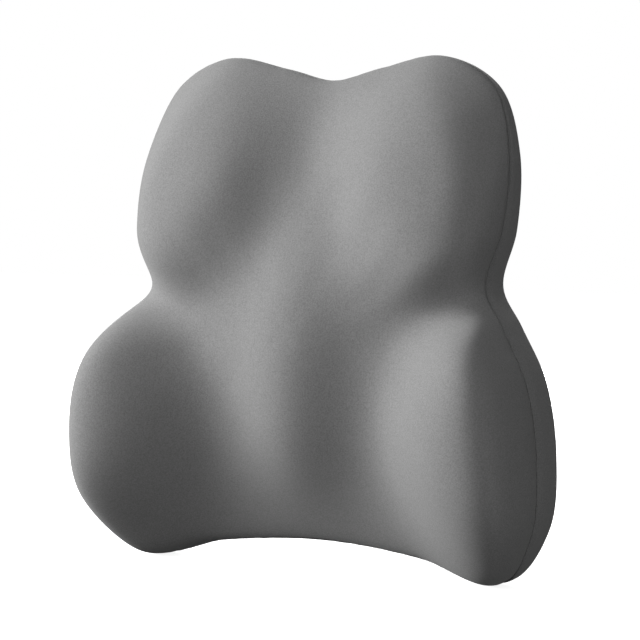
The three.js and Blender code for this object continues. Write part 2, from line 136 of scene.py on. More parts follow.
def add_node(tree: Tree, kind: str, settings: dict | None = None,
             links: dict | None = None) -> Node:
    """Add one node with its settings and the links into it.

    Args:
        tree: the node tree of a material or world.
        kind: the node's Blender type name.
        settings: values by name, for attributes of the node or for its input sockets.
        links: output sockets by the name or number of the input that they feed.

    Returns:
        The new node.
    """
    node = tree.nodes.new(kind)
    for name, value in (settings or {}).items():
        if hasattr(node, str(name)):
            setattr(node, name, value)
        else:
            node.inputs[name].default_value = value
    for name, output in (links or {}).items():
        tree.links.new(output, node.inputs[name])
    return node


def make_mesh(name: str, points: Array, faces: Sequence, uv: Array | None = None) -> Piece:
    """Make a smooth-shaded mesh object whose faces point outwards.

    Args:
        name: the piece's name.
        points: corners in millimetres in the designer's frame, shape (n, 3).
        faces: tuples of three or four corner numbers, all turning the same way.
        uv: optional surface coordinates of each corner, in metres, shape (n, 2).

    Returns:
        The object, at the origin. If the faces enclose a negative volume, which is the sum over them of
        the box product of three of their corners, they are all turned round.
    """
    corners = np.array([face[:3] for face in faces])
    a, b, c = (points[corners[:, i]] for i in range(3))
    signed = np.einsum("ij,ij->i", a, np.cross(b, c)).sum()
    quads = np.array([face for face in faces if len(face) == 4])
    if len(quads):
        p, q, r = (points[quads[:, i]] for i in (0, 2, 3))
        signed += np.einsum("ij,ij->i", p, np.cross(q, r)).sum()
    turned = faces if signed > 0 else [tuple(reversed(face)) for face in faces]
    mesh = bpy.data.meshes.new(name)
    mesh.from_pydata(((points + ORIGIN) * MM).tolist(), [], turned)
    if uv is not None:
        layer = mesh.uv_layers.new(name=CLOTH_UV)
        used = np.empty(len(mesh.loops), dtype=np.int32)
        mesh.loops.foreach_get("vertex_index", used)
        layer.data.foreach_set("uv", uv[used].astype(np.float32).ravel())
    mesh.shade_smooth()
    mesh.validate()
    piece = bpy.data.objects.new(name, mesh)
    bpy.context.scene.collection.objects.link(piece)
    return piece


def finish_piece(piece: Piece, material: Material, body: Body | None, slot: Slot,
                 stands_for: Sequence[str] = ()) -> Piece:
    """Give a piece its material and its body, hide the CAD parts that it replaces, and log its slot.

    Args:
        piece: the object.
        material: its finish.
        body: the body that it rides on, or None if it rides on none.
        slot: the record's slot for its material.
        stands_for: the CAD nodes that it replaces.

    Returns:
        The same object.
    """
    piece.data.materials.clear()
    piece.data.materials.append(material)
    if body is not None:
        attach(piece, body.value)
    if stands_for:
        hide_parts(*stands_for)
    log.info("%-22s %7d corners, slot %s", piece.name, len(piece.data.vertices), slot.value)
    return piece


def grid_faces(rows: int, columns: int, closed_rows: bool = False, closed_columns: bool = True) -> list:
    """List the four-sided faces of a grid of corners, numbered row by row.

    Args:
        rows: number of rows.
        columns: corners in each row.
        closed_rows: whether the last row joins the first.
        closed_columns: whether each row closes into a ring.

    Returns:
        Tuples of four corner numbers: a corner, the next in its row, and the two below them.
    """
    r, c = np.meshgrid(
        np.arange(rows if closed_rows else rows - 1),
        np.arange(columns if closed_columns else columns - 1), indexing="ij")
    below, beside = (r + 1) % rows, (c + 1) % columns
    row, next_row = r * columns, below * columns
    quads = np.stack([row + c, row + beside, next_row + beside, next_row + c], -1)
    return [tuple(quad) for quad in quads.reshape(-1, 4).tolist()]


def capped_surface(rings: Array, first: Array, last: Array) -> tuple[Array, list]:
    """Close a stack of rings with a pole at each end.

    Args:
        rings: points, shape (rows, columns, 3).
        first: the pole before the first ring.
        last: the pole after the last ring.

    Returns:
        All points, with the poles at the end, and the faces.
    """
    rows, columns = rings.shape[:2]
    points = np.vstack([rings.reshape(-1, 3), first, last])
    poles = rows * columns
    here = np.arange(columns)
    after = (here + 1) % columns
    top = np.stack([np.full(columns, poles), after, here], -1)
    base = (rows - 1) * columns
    bottom = np.stack([np.full(columns, poles + 1), base + here, base + after], -1)
    fans = [tuple(face) for face in np.vstack([top, bottom]).tolist()]
    return points, grid_faces(rows, columns) + fans


def unit(vectors: Array) -> Array:
    """Scale vectors to length 1 along the last axis."""
    return vectors / np.maximum(np.linalg.norm(vectors, axis=-1, keepdims=True), TINY)


def grid_normals(rings: Array) -> Array:
    """Find outward normals of a stack of closed rings.

    Args:
        rings: points, shape (rows, columns, 3), counter-clockwise in X and Z.

    Returns:
        Unit normals: the cross product of the step along the rings and the step across them, by central
        differences.
    """
    along = np.roll(rings, -1, 1) - np.roll(rings, 1, 1)
    across = np.gradient(rings, axis=0)
    return unit(np.cross(along, across))


def travelled(points: Array) -> Array:
    """Distance of each row of points from the first one, along them.

    Args:
        points: a line, shape (n, dimensions), or a stack of rings, shape (n, columns, dimensions).

    Returns:
        The summed steps, shape (n,); for rings, each step is the mean over the columns.
    """
    steps = np.linalg.norm(np.diff(points, axis=0), axis=-1).reshape(len(points) - 1, -1)
    return np.concatenate([[0], np.cumsum(steps.mean(1))])


def smoothed_rows(rows: Array, passes: int) -> Array:
    """Average each inner row with its neighbours, one part to two parts to one, a number of times."""
    smooth = rows.copy()
    for _ in range(passes):
        smooth[1:-1] = (smooth[:-2] + 2 * smooth[1:-1] + smooth[2:]) / 4
    return smooth


def catmull_rom_rows(field_values: Array, rows: Array) -> Array:
    """Sample a field between its rows on a smooth cubic.

    Args:
        field_values: values, shape (n, ...).
        rows: row positions from 0 to n - 1.

    Returns:
        The field at those rows, by the Catmull-Rom cubic through the two rows on each side.
    """
    last = len(field_values) - 1
    whole = np.clip(np.floor(rows).astype(int), 0, last - 1)
    t = (rows - whole).reshape(-1, *[1] * (field_values.ndim - 1))
    p0, p1, p2, p3 = (field_values[np.clip(whole + k, 0, last)] for k in (-1, 0, 1, 2))
    return p1 + 0.5 * t * (p2 - p0 + t * (2 * p0 - 5 * p1 + 4 * p2 - p3 + t * (3 * (p1 - p2) + p3 - p0)))


def centripetal_spans(p0: Array, p1: Array, p2: Array, p3: Array, per_span: int = 80) -> Array:
    """Points along a centripetal Catmull-Rom curve.

    Args:
        p0: the knot before each span.
        p1: the knot that each span starts from.
        p2: the knot that it ends at.
        p3: the knot after it.
        per_span: points on each span, without its end.

    Returns:
        The points, in order. Each span is the cubic whose end slopes come from its neighbours, weighted
        by the square root of the distances between them.
    """
    gap = [np.sqrt(np.linalg.norm(b - a, axis=1))[:, None] for a, b in ((p0, p1), (p1, p2), (p2, p3))]
    start = ((p1 - p0) / gap[0] - (p2 - p0) / (gap[0] + gap[1]) + (p2 - p1) / gap[1]) * gap[1]
    end = ((p2 - p1) / gap[1] - (p3 - p1) / (gap[1] + gap[2]) + (p3 - p2) / gap[2]) * gap[1]
    t = np.linspace(0, 1, per_span, endpoint=False)[None, :, None]
    spans = ((2 * t ** 3 - 3 * t ** 2 + 1) * p1[:, None] + (t ** 3 - 2 * t ** 2 + t) * start[:, None]
             + (3 * t ** 2 - 2 * t ** 3) * p2[:, None] + (t ** 3 - t ** 2) * end[:, None])
    return spans.reshape(-1, p1.shape[1])


def evenly_spaced(curve: Array, count: int) -> Array:
    """Resample a curve at even distances along it.

    Args:
        curve: points, shape (n, dimensions).
        count: number of points wanted, from end to end.

    Returns:
        The points.
    """
    length = travelled(curve)
    wanted = np.linspace(0, length[-1], count)
    return np.stack([np.interp(wanted, length, values) for values in curve.T], -1)


def fourier_columns(field_values: Array, columns: int) -> Array:
    """Resample a field that is periodic along its second axis.

    Args:
        field_values: values, shape (rows, n, 3).
        columns: the new number of columns.

    Returns:
        The same waves, sampled at more columns: its Fourier series with zeros added.
    """
    count = field_values.shape[1]
    waves = np.fft.rfft(field_values, axis=1)
    return np.fft.irfft(waves, columns, axis=1) * (columns / count)


# ------------------------------------------------------------------ finishes

def per_metre(size_mm: float) -> float:
    """How many of a pattern's features, each of this size in millimetres, fit in a metre."""
    return 1 / (size_mm * MM)


def two_tone(tree: Tree, shader: Node, low: str, high: str, share: Socket) -> None:
    """Colour the shader by a mix of two colours.

    Args:
        tree: the material's nodes.
        shader: the shader.
        low: sRGB colour where share is 0.
        high: sRGB colour where it is 1.
        share: the value that mixes them.
    """
    mix = add_node(tree, "ShaderNodeMix", {"data_type": "RGBA", MIX_LOW: hex_to_linear(low),
                                           MIX_HIGH: hex_to_linear(high)}, {"Factor": share})
    tree.links.new(mix.outputs[MIX_COLOUR], shader.inputs["Base Color"])


def crossed_waves(tree: Tree, place: Socket, wave: str, rates: dict[str, float]) -> tuple[Socket, Socket]:
    """Make two waves along two axes.

    Args:
        tree: the material's nodes.
        place: the coordinates that they run over.
        wave: "SINE" or "COSINE".
        rates: radians in a metre along each of the two axes.

    Returns:
        The second wave, and the product of both.
    """
    axes = add_node(tree, "ShaderNodeSeparateXYZ", links={"Vector": place})
    waves = []
    for axis, rate in rates.items():
        turn = add_node(tree, "ShaderNodeMath", {"operation": "MULTIPLY", 1: rate}, {0: axes.outputs[axis]})
        waves.append(add_node(tree, "ShaderNodeMath", {"operation": wave}, {0: turn.outputs[0]}).outputs[0])
    both = add_node(tree, "ShaderNodeMath", {"operation": "MULTIPLY"}, {0: waves[0], 1: waves[1]})
    return waves[1], both.outputs[0]


@dataclass(frozen=True)
class Finish:
    """A material built from nodes on the standard shader."""

    name: str  # the real material, as the workshop calls it
    colour: str  # its main sRGB colour
    roughness: float  # of the shader
    relief_mm: float = 0.0  # how deep its relief is, from the lowest height to the highest
    sheen: float = 0.0  # weight of the glow that loose fibres give at glancing angles
    sheen_roughness: float = 0.5  # spread of that glow
    specular: float = 0.5  # strength of the gloss; a half is that of a common plastic
    metallic: float = 0.0  # 1 for a metal

    def build(self) -> Material:
        """Make the material.

        Returns:
            The material: the shader with its constants, this finish's patterns, and their relief.
        """
        material = bpy.data.materials.new(self.name)
        material.use_nodes = True
        tree = material.node_tree
        tree.nodes.clear()
        shader = add_node(tree, "ShaderNodeBsdfPrincipled",
                          {"Base Color": hex_to_linear(self.colour), "Roughness": self.roughness,
                           "Sheen Weight": self.sheen, "Sheen Roughness": self.sheen_roughness,
                           "Specular IOR Level": self.specular, "Metallic": self.metallic})
        add_node(tree, "ShaderNodeOutputMaterial", links={"Surface": shader.outputs[0]})
        height = self.dress(tree, shader)
        if height is not None:
            relief = add_node(tree, "ShaderNodeBump",
                              {"Distance": self.relief_mm * MM, "Strength": 1.0}, {"Height": height})
            tree.links.new(relief.outputs[0], shader.inputs["Normal"])
        return material

    def dress(self, tree: Tree, shader: Node) -> Socket | None:
        """Add the patterns of this kind of finish.

        Args:
            tree: the material's nodes.
            shader: the shader that they feed.

        Returns:
            The height of its relief, from about 0 to 1, or None if it has no relief.
        """
        raise NotImplementedError


@dataclass(frozen=True)
class KnittedPolyester(Finish):
    """Fine circular-knit polyester with a brushed face.

    To the eye it is matt, with a heather of lighter and darker yarns, a pebble of loops, and a soft
    bright nap at glancing angles. A real loop is about 0.3 mm wide and would be too fine to show.
    """

    relief_mm: float = 0.14
    sheen: float = 0.25
    sheen_roughness: float = 0.55
    specular: float = 0.2
    light_yarn: str = "868686"  # colour of the lighter yarn
    dark_yarn: str = "717171"  # colour of the darker one
    fleck_mm: float = 1.1  # width of a fleck
    fleck_range: tuple[float, float] = (0.32, 0.68)  # the noise at which a fleck is all dark, and all light
    loop_mm: float = 0.7  # width of a loop
    loop_share: float = 0.55  # how much the loops count in the relief, beside the flecks
    drift_mm: float = 26.0  # width of the slow changes of shade
    drift: float = 0.22  # how much they lighten the cloth

    def dress(self, tree: Tree, shader: Node) -> Socket:
        """Mix flecks of two yarns by noise, and raise the loops by noise and cells."""
        place = add_node(tree, "ShaderNodeTexCoord").outputs["Object"]
        grain = add_node(tree, "ShaderNodeTexNoise",
                         {"Scale": per_metre(self.fleck_mm), "Detail": 2.0, "Roughness": 0.6},
                         {"Vector": place})
        loops = add_node(tree, "ShaderNodeTexVoronoi", {"Scale": per_metre(self.loop_mm)}, {"Vector": place})
        slow = add_node(tree, "ShaderNodeTexNoise",
                        {"Scale": per_metre(self.drift_mm), "Detail": 2.0}, {"Vector": place})
        fleck = add_node(tree, "ShaderNodeMapRange",
                         {"From Min": self.fleck_range[0], "From Max": self.fleck_range[1]},
                         {"Value": grain.outputs["Fac"]})
        shade = add_node(tree, "ShaderNodeMath", {"operation": "MULTIPLY_ADD", 1: self.drift},
                         {0: slow.outputs["Fac"], 2: fleck.outputs[0]})
        two_tone(tree, shader, self.dark_yarn, self.light_yarn, shade.outputs[0])
        return add_node(tree, "ShaderNodeMath", {"operation": "MULTIPLY_ADD", 1: -self.loop_share},
                        {0: loops.outputs["Distance"], 2: grain.outputs["Fac"]}).outputs[0]


@dataclass(frozen=True)
class SpacerMesh(Finish):
    """Warp-knit spacer fabric, the airy kind used on chair backs.

    To the eye it is a darker grey face of small round openings in staggered rows, with painted shade inside
    the openings.
    """

    relief_mm: float = 0.6
    sheen: float = 0.15
    hole_mm: float = 3.2  # from one opening to the next across the panel
    row_share: float = 0.62  # the rows' rate as a share of the openings' rate
    painted_hole_shade: str = "232324"  # colour of the painted shade inside the openings
    # Height of the crossed waves where an opening starts, and where it is full.
    hole_range: tuple[float, float] = (0.25, 0.6)
    yarn_mm: float = 0.5  # width of the yarns

    def dress(self, tree: Tree, shader: Node) -> Socket:
        """Open the cloth where the product of two waves, along X and Z, is high, and paint shade into the
        openings; add fine yarn noise.
        """
        place = add_node(tree, "ShaderNodeTexCoord").outputs["Object"]
        rate = TAU * per_metre(self.hole_mm)
        _, both = crossed_waves(tree, place, "COSINE", {"X": rate, "Z": rate * self.row_share})
        opening = add_node(tree, "ShaderNodeMapRange",
                           {"From Min": self.hole_range[0], "From Max": self.hole_range[1],
                            "interpolation_type": "SMOOTHSTEP"}, {"Value": both})
        yarn = add_node(tree, "ShaderNodeTexNoise",
                        {"Scale": per_metre(self.yarn_mm), "Detail": 2.0}, {"Vector": place})
        # Painted shade: the openings take a near-black colour.
        two_tone(tree, shader, self.colour, self.painted_hole_shade, opening.outputs[0])
        return add_node(tree, "ShaderNodeMath", {"operation": "MULTIPLY_ADD", 1: -1.0},
                        {0: opening.outputs[0], 2: yarn.outputs["Fac"]}).outputs[0]


@dataclass(frozen=True)
class Tricot(Finish):
    """Thin warp-knit tricot: off-white, smooth, with fine upright ribs.

    A real rib is about 0.8 mm wide; it is drawn coarser, so that it shows.
    """

    relief_mm: float = 0.1
    sheen: float = 0.2
    rib_mm: float = 3.16  # width of a rib
    bands_per_unit: float = 20.0  # how fast the wave texture turns, in radians over one unit of its scale

    def dress(self, tree: Tree, shader: Node) -> Socket:
        """Raise upright ribs by a wave along X."""
        place = add_node(tree, "ShaderNodeTexCoord").outputs["Object"]
        scale = TAU / self.bands_per_unit * per_metre(self.rib_mm)
        return add_node(tree, "ShaderNodeTexWave", {"Scale": scale, "Distortion": 0.6},
                        {"Vector": place}).outputs["Fac"]


@dataclass(frozen=True)
class MouldedFoam(Finish):
    """Moulded slow-recovery foam: pale yellow skin, very matt, with open pores about a millimetre wide,
    darkened inside by painted shade.
    """

    relief_mm: float = 0.3
    pore_mm: float = 1.1  # from one pore to the next
    # Distance from a pore's centre, in pores, where its wall starts and ends.
    pore_range: tuple[float, float] = (0.05, 0.4)
    painted_pore_shade: str = "c9b57f"  # colour of the painted shade inside the pores

    def dress(self, tree: Tree, shader: Node) -> Socket:
        """Sink pores where a cell texture is near its centres, and darken them there with painted shade."""
        place = add_node(tree, "ShaderNodeTexCoord").outputs["Object"]
        cells = add_node(tree, "ShaderNodeTexVoronoi", {"Scale": per_metre(self.pore_mm)}, {"Vector": place})
        skin = add_node(tree, "ShaderNodeMapRange",
                        {"From Min": self.pore_range[0], "From Max": self.pore_range[1]},
                        {"Value": cells.outputs["Distance"]})
        # Painted shade: the pores take a darker colour.
        two_tone(tree, shader, self.painted_pore_shade, self.colour, skin.outputs[0])
        return skin.outputs[0]


@dataclass(frozen=True)
class WovenTape(Finish):
    """Woven narrow fabric: ribs along its length crossed by fine picks.

    It reads the piece's own surface coordinates, so the weave follows the strap round its bends. The ribs
    catch the light as thin satin lines between valleys of painted shade, and the picks break them into a
    grain.
    """

    relief_mm: float = 0.18
    sheen: float = 0.3
    sheen_roughness: float = 0.4
    rib_mm: float = 1.3  # from one rib to the next, across the tape
    pick_mm: float = 0.9  # from one pick to the next, along it
    rib_share: float = 0.6  # how much the ribs count beside the crossed weave
    painted_valley_shade: str = "101012"  # colour of the painted shade between the threads

    def dress(self, tree: Tree, shader: Node) -> Socket:
        """Multiply a wave along the tape by one across it, as a plain weave has, and darken its valleys with
        painted shade.
        """
        uv = add_node(tree, "ShaderNodeUVMap", {"uv_map": CLOTH_UV}).outputs[0]
        rates = {"X": TAU * per_metre(self.pick_mm), "Y": TAU * per_metre(self.rib_mm)}
        ribs, weave = crossed_waves(tree, uv, "SINE", rates)
        ribbed = add_node(tree, "ShaderNodeMath", {"operation": "MULTIPLY_ADD", 1: self.rib_share},
                          {0: ribs, 2: weave})
        most = 1 + self.rib_share
        height = add_node(tree, "ShaderNodeMapRange", {"From Min": -most, "From Max": most},
                          {"Value": ribbed.outputs[0]})
        # Painted shade: the valleys between the threads take a near-black colour.
        two_tone(tree, shader, self.painted_valley_shade, self.colour, height.outputs[0])
        return height.outputs[0]


@dataclass(frozen=True)
class SpunThread(Finish):
    """Bonded polyester sewing thread: a dull sheen with a fine twist."""

    relief_mm: float = 0.05
    sheen: float = 0.3
    twist_mm: float = 0.25  # length of one turn of the twist

    def dress(self, tree: Tree, shader: Node) -> Socket:
        """Raise a fine twist by noise."""
        place = add_node(tree, "ShaderNodeTexCoord").outputs["Object"]
        return add_node(tree, "ShaderNodeTexNoise", {"Scale": per_metre(self.twist_mm)},
                        {"Vector": place}).outputs["Fac"]


@dataclass(frozen=True)
class WornFinish(Finish):
    """A hard surface with a fine grain, whose gloss varies slowly where it is handled."""

    grain_mm: float = 1.0  # width of the grain
    grain_detail: float = 2.0  # finer layers of it
    wear_mm: float = 1.0  # width of the polished and dulled places
    wear_detail: float = 2.0  # finer layers of them
    polished: float = 0.08  # how much less rough the most polished place is
    dulled: float = 0.1  # how much rougher the dullest one is

    def dress(self, tree: Tree, shader: Node) -> Socket:
        """Vary the roughness by one noise, and grain the surface by another."""
        place = add_node(tree, "ShaderNodeTexCoord").outputs["Object"]
        worn = add_node(tree, "ShaderNodeTexNoise",
                        {"Scale": per_metre(self.wear_mm), "Detail": self.wear_detail}, {"Vector": place})
        rough = add_node(tree, "ShaderNodeMapRange",
                         {"To Min": self.roughness - self.polished, "To Max": self.roughness + self.dulled},
                         {"Value": worn.outputs["Fac"]})
        tree.links.new(rough.outputs[0], shader.inputs["Roughness"])
        return add_node(tree, "ShaderNodeTexNoise",
                        {"Scale": per_metre(self.grain_mm), "Detail": self.grain_detail},
                        {"Vector": place}).outputs["Fac"]


@dataclass(frozen=True)
class MouldedPlastic(WornFinish):
    """Injection-moulded acetal or nylon with a spark-eroded mould texture.

    To the eye it is black with soft highlights, slightly polished where fingers rub its high spots.
    """

    relief_mm: float = 0.03
    grain_mm: float = 0.35
    grain_detail: float = 3.0
    wear_mm: float = 9.0


@dataclass(frozen=True)
class NickelPlatedZinc(WornFinish):
    """Die-cast zinc, tumbled and nickel plated.

    To the eye it is a bright grey metal with a faint orange-peel and light scuffs.
    """

    relief_mm: float = 0.02
    metallic: float = 1.0
    grain_mm: float = 0.8
    wear_mm: float = 2.5
    wear_detail: float = 4.0
    dulled: float = 0.14


@dataclass(frozen=True)
class StudioPaper(Finish):
    """Matt white background paper, lit from below.

    To the eye it is white, with only a faint contact shadow where the cushion stands, and it melts into
    the white surround further out.
    """

    glow_near: float = 0.88  # strength of its light under the cushion
    glow_far: float = 1.0  # strength of it far out
    near_m: float = 0.25  # distance from the middle up to which the near glow holds
    far_m: float = 1.4  # distance from which the far glow holds
    rough_range: tuple[float, float] = (0.85, 0.95)  # its lowest and highest roughness
    mottle_mm: float = 25.0  # width of the mottle

    def dress(self, tree: Tree, shader: Node) -> None:
        """Let the paper glow, more so with the distance from its middle, and mottle its roughness."""
        place = add_node(tree, "ShaderNodeTexCoord").outputs["Object"]
        mottle = add_node(tree, "ShaderNodeTexNoise", {"Scale": per_metre(self.mottle_mm)}, {"Vector": place})
        rough = add_node(tree, "ShaderNodeMapRange",
                         {"To Min": self.rough_range[0], "To Max": self.rough_range[1]},
                         {"Value": mottle.outputs["Fac"]})
        tree.links.new(rough.outputs[0], shader.inputs["Roughness"])
        away = add_node(tree, "ShaderNodeVectorMath", {"operation": "LENGTH"}, {0: place})
        glow = add_node(tree, "ShaderNodeMapRange",
                        {"interpolation_type": "SMOOTHSTEP", "From Min": self.near_m, "From Max": self.far_m,
                         "To Min": self.glow_near, "To Max": self.glow_far}, {"Value": away.outputs["Value"]})
        shader.inputs["Emission Color"].default_value = hex_to_linear("ffffff")
        tree.links.new(glow.outputs[0], shader.inputs["Emission Strength"])


def made_from(finish: Finish) -> Material:
    """A dataclass field that holds a finish's material, made when its owner is."""
    return field(default_factory=finish.build)


@dataclass
class Finishes:
    """Every finish of the cushion, made once."""

    knit: Material = made_from(KnittedPolyester("brushed polyester knit", "7c7c7c", 0.95))
    mesh: Material = made_from(SpacerMesh("polyester spacer mesh", "4a4a4c", 0.9))
    tricot: Material = made_from(Tricot("off-white tricot", "e6e4de", 0.8))
    foam: Material = made_from(MouldedFoam("slow-recovery foam", "efe3b8", 0.95))
    zip_tape: Material = made_from(
        WovenTape("woven zip tape", "2c2c2e", 0.8, relief_mm=0.1, rib_mm=0.8, pick_mm=0.8))
    coil: Material = made_from(MouldedPlastic("nylon monofilament", "1d1d1f", 0.35))
    zinc: Material = made_from(NickelPlatedZinc("nickel-plated zinc", "b9b7b2", 0.3))
    webbing: Material = made_from(WovenTape("woven elastic webbing", "2e2e31", 0.75))
    patch: Material = made_from(
        WovenTape("woven reinforcing patch", "303033", 0.8, rib_mm=1.6, pick_mm=1.6))
    thread: Material = made_from(SpunThread("bonded polyester thread", "3a3a3d", 0.6))
    acetal: Material = made_from(MouldedPlastic("moulded acetal", "17171a", 0.42))


# ------------------------------------------------------------------ the cushion's shape


@dataclass(frozen=True)
class Lobe:
    """A rounded swelling of the sitter's side, on both sides of the middle."""

    height: float  # of its crest
    x: float  # distance of its middle from the middle line
    z: float  # height of its middle
    half_width: float  # how far it reaches sideways
    half_height: float  # how far it reaches up and down
    turn: float  # how far its long axis leans, in radians
    sharpness: float  # 1 for a soft bell, more for a flat top with steep sides
    outer: float  # how many times wider it is beyond its crest
    crest_blend: float = 12.0  # width of the change at the crest

    def rise(self, side: Array, z: Array) -> Array:
        """Height of the swelling.

        Args:
            side: distance from the middle line.
            z: height up the cushion.

        Returns:
            height times e to the minus r to the power 2 * sharpness, where r is the distance from the
            lobe's middle in half widths along its turned axes. The half width changes smoothly at the
            crest, from its inner to its outer value.
        """
        out = math.cos(self.turn) * (side - self.x) + math.sin(self.turn) * (z - self.z)
        up = math.cos(self.turn) * (z - self.z) - math.sin(self.turn) * (side - self.x)
        beyond = (1 + np.tanh(out / self.crest_blend)) / 2
        width = self.half_width * (1 + (self.outer - 1) * beyond)
        return self.height * np.exp(-(((out / width) ** 2 + (up / self.half_height) ** 2) ** self.sharpness))


@dataclass(frozen=True)
class CushionShape:
    """The cover's outer surface: an outline, a relief on the sitter's side and a rounded rear edge.

    Depths are y in the designer's frame, and heights of the relief are above the widest ring.
    """

    # X and z of points on the outline's right half, from its top to its foot.
    half_outline: tuple = (
        (0, 398), (45, 408), (99, 417), (145, 393), (163, 341), (162, 280), (151, 234), (168, 203),
        (190, 160), (200, 100), (195, 42), (163, 0), (96, 14), (43, 20), (0, 22))
    heart: float = 194.0  # height of the point that the outline's rings shrink towards
    widest: float = -22.0  # depth of the ring where the cushion is widest
    edge_inset: float = 30.0  # how far the rear edge's rounding reaches inwards
    edge_depth: float = 19.0  # how far it reaches forwards
    seam: float = -54.0  # depth of the seam at the lower lobes
    seam_slope: float = 0.127  # how fast it leans back above them
    seam_slope_from: float = 195.0  # height where it starts to lean
    seam_softness: float = 20.0  # height over which the lean grows
    seam_toe: float = 28.0  # how far the seam runs back at the foot
    seam_toe_height: float = 24.0  # height over which it does
    base: float = 57.0  # height of the relief without its lobes
    tilt: float = -0.006  # its slope upwards
    bow: float = -0.00094  # its curve, in heights per square height from the heart
    # The lower and the upper pair.
    lobes: tuple = (
        Lobe(height=42, x=200, z=116, half_width=97, half_height=104, turn=-0.39, sharpness=1.95, outer=1.6),
        Lobe(height=34, x=120, z=322, half_width=83, half_height=103, turn=0.39, sharpness=1.7, outer=0.6))
    lobes_meet: float = 245.0  # height where the lower pair gives way to the upper one
    meeting_blend: float = 18.0  # height over which it does
    wing_lower: float = 42.0  # how far the sides of the lower pair stand forwards
    wing_upper: float = -5.0  # how far those of the upper pair do
    wing_from: float = 205.0  # distance from the middle at which the wings are that high
    spine: float = 30.0  # height of the ridge along the spine
    spine_half_width: float = 55.0  # of the ridge
    spine_z: float = 156.0  # height of its middle
    spine_half_height: float = 100.0  # of the ridge
    spine_sharpness: float = 2.93  # power of its fall upwards and downwards
    waist_depth: float = 45.0  # depth of the groove at the waist
    waist_z: float = 222.0  # height of the groove, waist_rise_from off the middle line
    waist_rise: float = 0.265  # how fast it climbs outwards
    waist_rise_from: float = 154.0  # distance from the middle line that its climb is measured from
    waist_half_height: float = 23.0  # of the groove
    waist_from: float = 141.0  # distance from the middle over which it deepens
    middle_rounding: float = 15.0  # half width of the rounding that joins the two sides at the middle
    square_lower: float = 6.0  # how square the edge of the lower pair is; 2 is a circle
    square_upper: float = 5.0  # how square that of the upper pair is
    band_widest: float = 0.3  # share of the side band's steps before the widest ring
    band_edge: float = 0.5  # share of them before the rear edge's rounding
    least_step: float = 1e-4  # of the front panel, so that its first ring isn't a point
    back_span: float = 0.995  # how far towards the heart the flat back reaches

    def outline(self, count: int) -> Array:
        """Points round the outline, evenly spaced.

        Args:
            count: number of points.

        Returns:
            x and z of each point, shape (count, 2), on the closed centripetal Catmull-Rom curve through
            the half outline and its mirror image.
        """
        half = np.array(self.half_outline, float)
        knots = np.vstack([half, (half[1:-1] * (-1, 1))[::-1]])
        curve = centripetal_spans(*(np.roll(knots, shift, 0) for shift in (1, 0, -1, -2)))
        return evenly_spaced(np.vstack([curve, curve[:1]]), count + 1)[:-1]

    def lower_share(self, z: Array) -> Array:
        """1 in the lower lobes and 0 in the upper ones, on a smooth step where they meet."""
        return 1 / (1 + np.exp((z - self.lobes_meet) / self.meeting_blend))

    def squareness(self, z: Array) -> Array:
        """How square the cushion's edge is at each height."""
        return self.square_upper + (self.square_lower - self.square_upper) * self.lower_share(z)

    def relief(self, x: Array, z: Array) -> Array:
        """Height of the sitter's side above the widest ring.

        Args:
            x: across the cushion.
            z: up the cushion.

        Returns:
            A tilted and bowed base, plus the lobes, wings that rise or fall towards the sides, and a
            ridge along the spine, less a groove at the waist that deepens towards the sides.
        """
        side = np.hypot(x, self.middle_rounding)
        up = z - self.heart
        lower = self.lower_share(z)
        ridge = np.exp(-(x / self.spine_half_width) ** 2
                       - np.abs((z - self.spine_z) / self.spine_half_height) ** self.spine_sharpness)
        waist = self.waist_z + self.waist_rise * (side - self.waist_rise_from)
        groove = np.exp(-((z - waist) / self.waist_half_height) ** 2)
        outward = 1 - np.exp(-(side / self.waist_from) ** 4)
        wing = self.wing_lower * lower + self.wing_upper * (1 - lower)
        return (self.base + self.tilt * up + self.bow * up ** 2
                + sum(lobe.rise(side, z) for lobe in self.lobes)
                + wing * (side / self.wing_from) ** 2
                + self.spine * ridge - self.waist_depth * groove * outward)

    def seam_y(self, z: Array) -> Array:
        """Depth of the seam: straight at the lower lobes, it leans to the chair above and at its toe."""
        leaning = self.seam_softness * np.log1p(np.exp((z - self.seam_slope_from) / self.seam_softness))
        return self.seam + self.seam_slope * leaning + self.seam_toe * np.exp(-z / self.seam_toe_height)

    def reach(self, outline: Array) -> Array:
        """Distance of each point of the outline from the heart."""
        return np.hypot(outline[:, 0], outline[:, 1] - self.heart)

    def shrunk(self, outline: Array, share: Array, y: Array) -> Array:
        """Outline points moved towards the heart.

        Args:
            outline: x and z, shape (columns, 2).
            share: 1 on the outline, 0 at the heart, shape (rows, columns).
            y: depth of each point, shape (rows, columns).

        Returns:
            Points, shape (rows, columns, 3).
        """
        x = outline[:, 0] * share
        z = self.heart + (outline[:, 1] - self.heart) * share
        return np.stack([x, np.broadcast_to(y, x.shape), z], -1)

    def front(self, outline: Array, angle: Array) -> Array:
        """Points of the front.

        Args:
            outline: x and z, shape (columns, 2).
            angle: turn of each point, 0 at the middle and a quarter turn at the widest ring.

        Returns:
            Points whose share of the outline is sin(angle) to the power 2 / n, and whose height above
            the widest ring is the relief there times cos(angle) to the power 2 / n. n is how square the
            edge is.
        """
        n = self.squareness(outline[:, 1])
        points = self.shrunk(outline, np.sin(angle) ** (2 / n), np.zeros_like(angle))
        depth = self.relief(points[..., 0], points[..., 2]) * np.clip(np.cos(angle), 0, 1) ** (2 / n)
        points[..., 1] = self.widest - depth
        return points

    def seam_angle(self, outline: Array) -> Array:
        """Turn at which the front meets the seam, for each point of the outline."""
        share = (self.widest - self.seam_y(outline[:, 1])) / self.relief(outline[:, 0], outline[:, 1])
        return np.arccos(share ** (self.squareness(outline[:, 1]) / 2))

    def front_panel(self, outline: Array, steps: Array) -> Array:
        """Rings from near the middle, at step 0, to the seam, at step 1."""
        return self.front(outline, np.clip(steps, self.least_step, 1)[:, None] * self.seam_angle(outline))

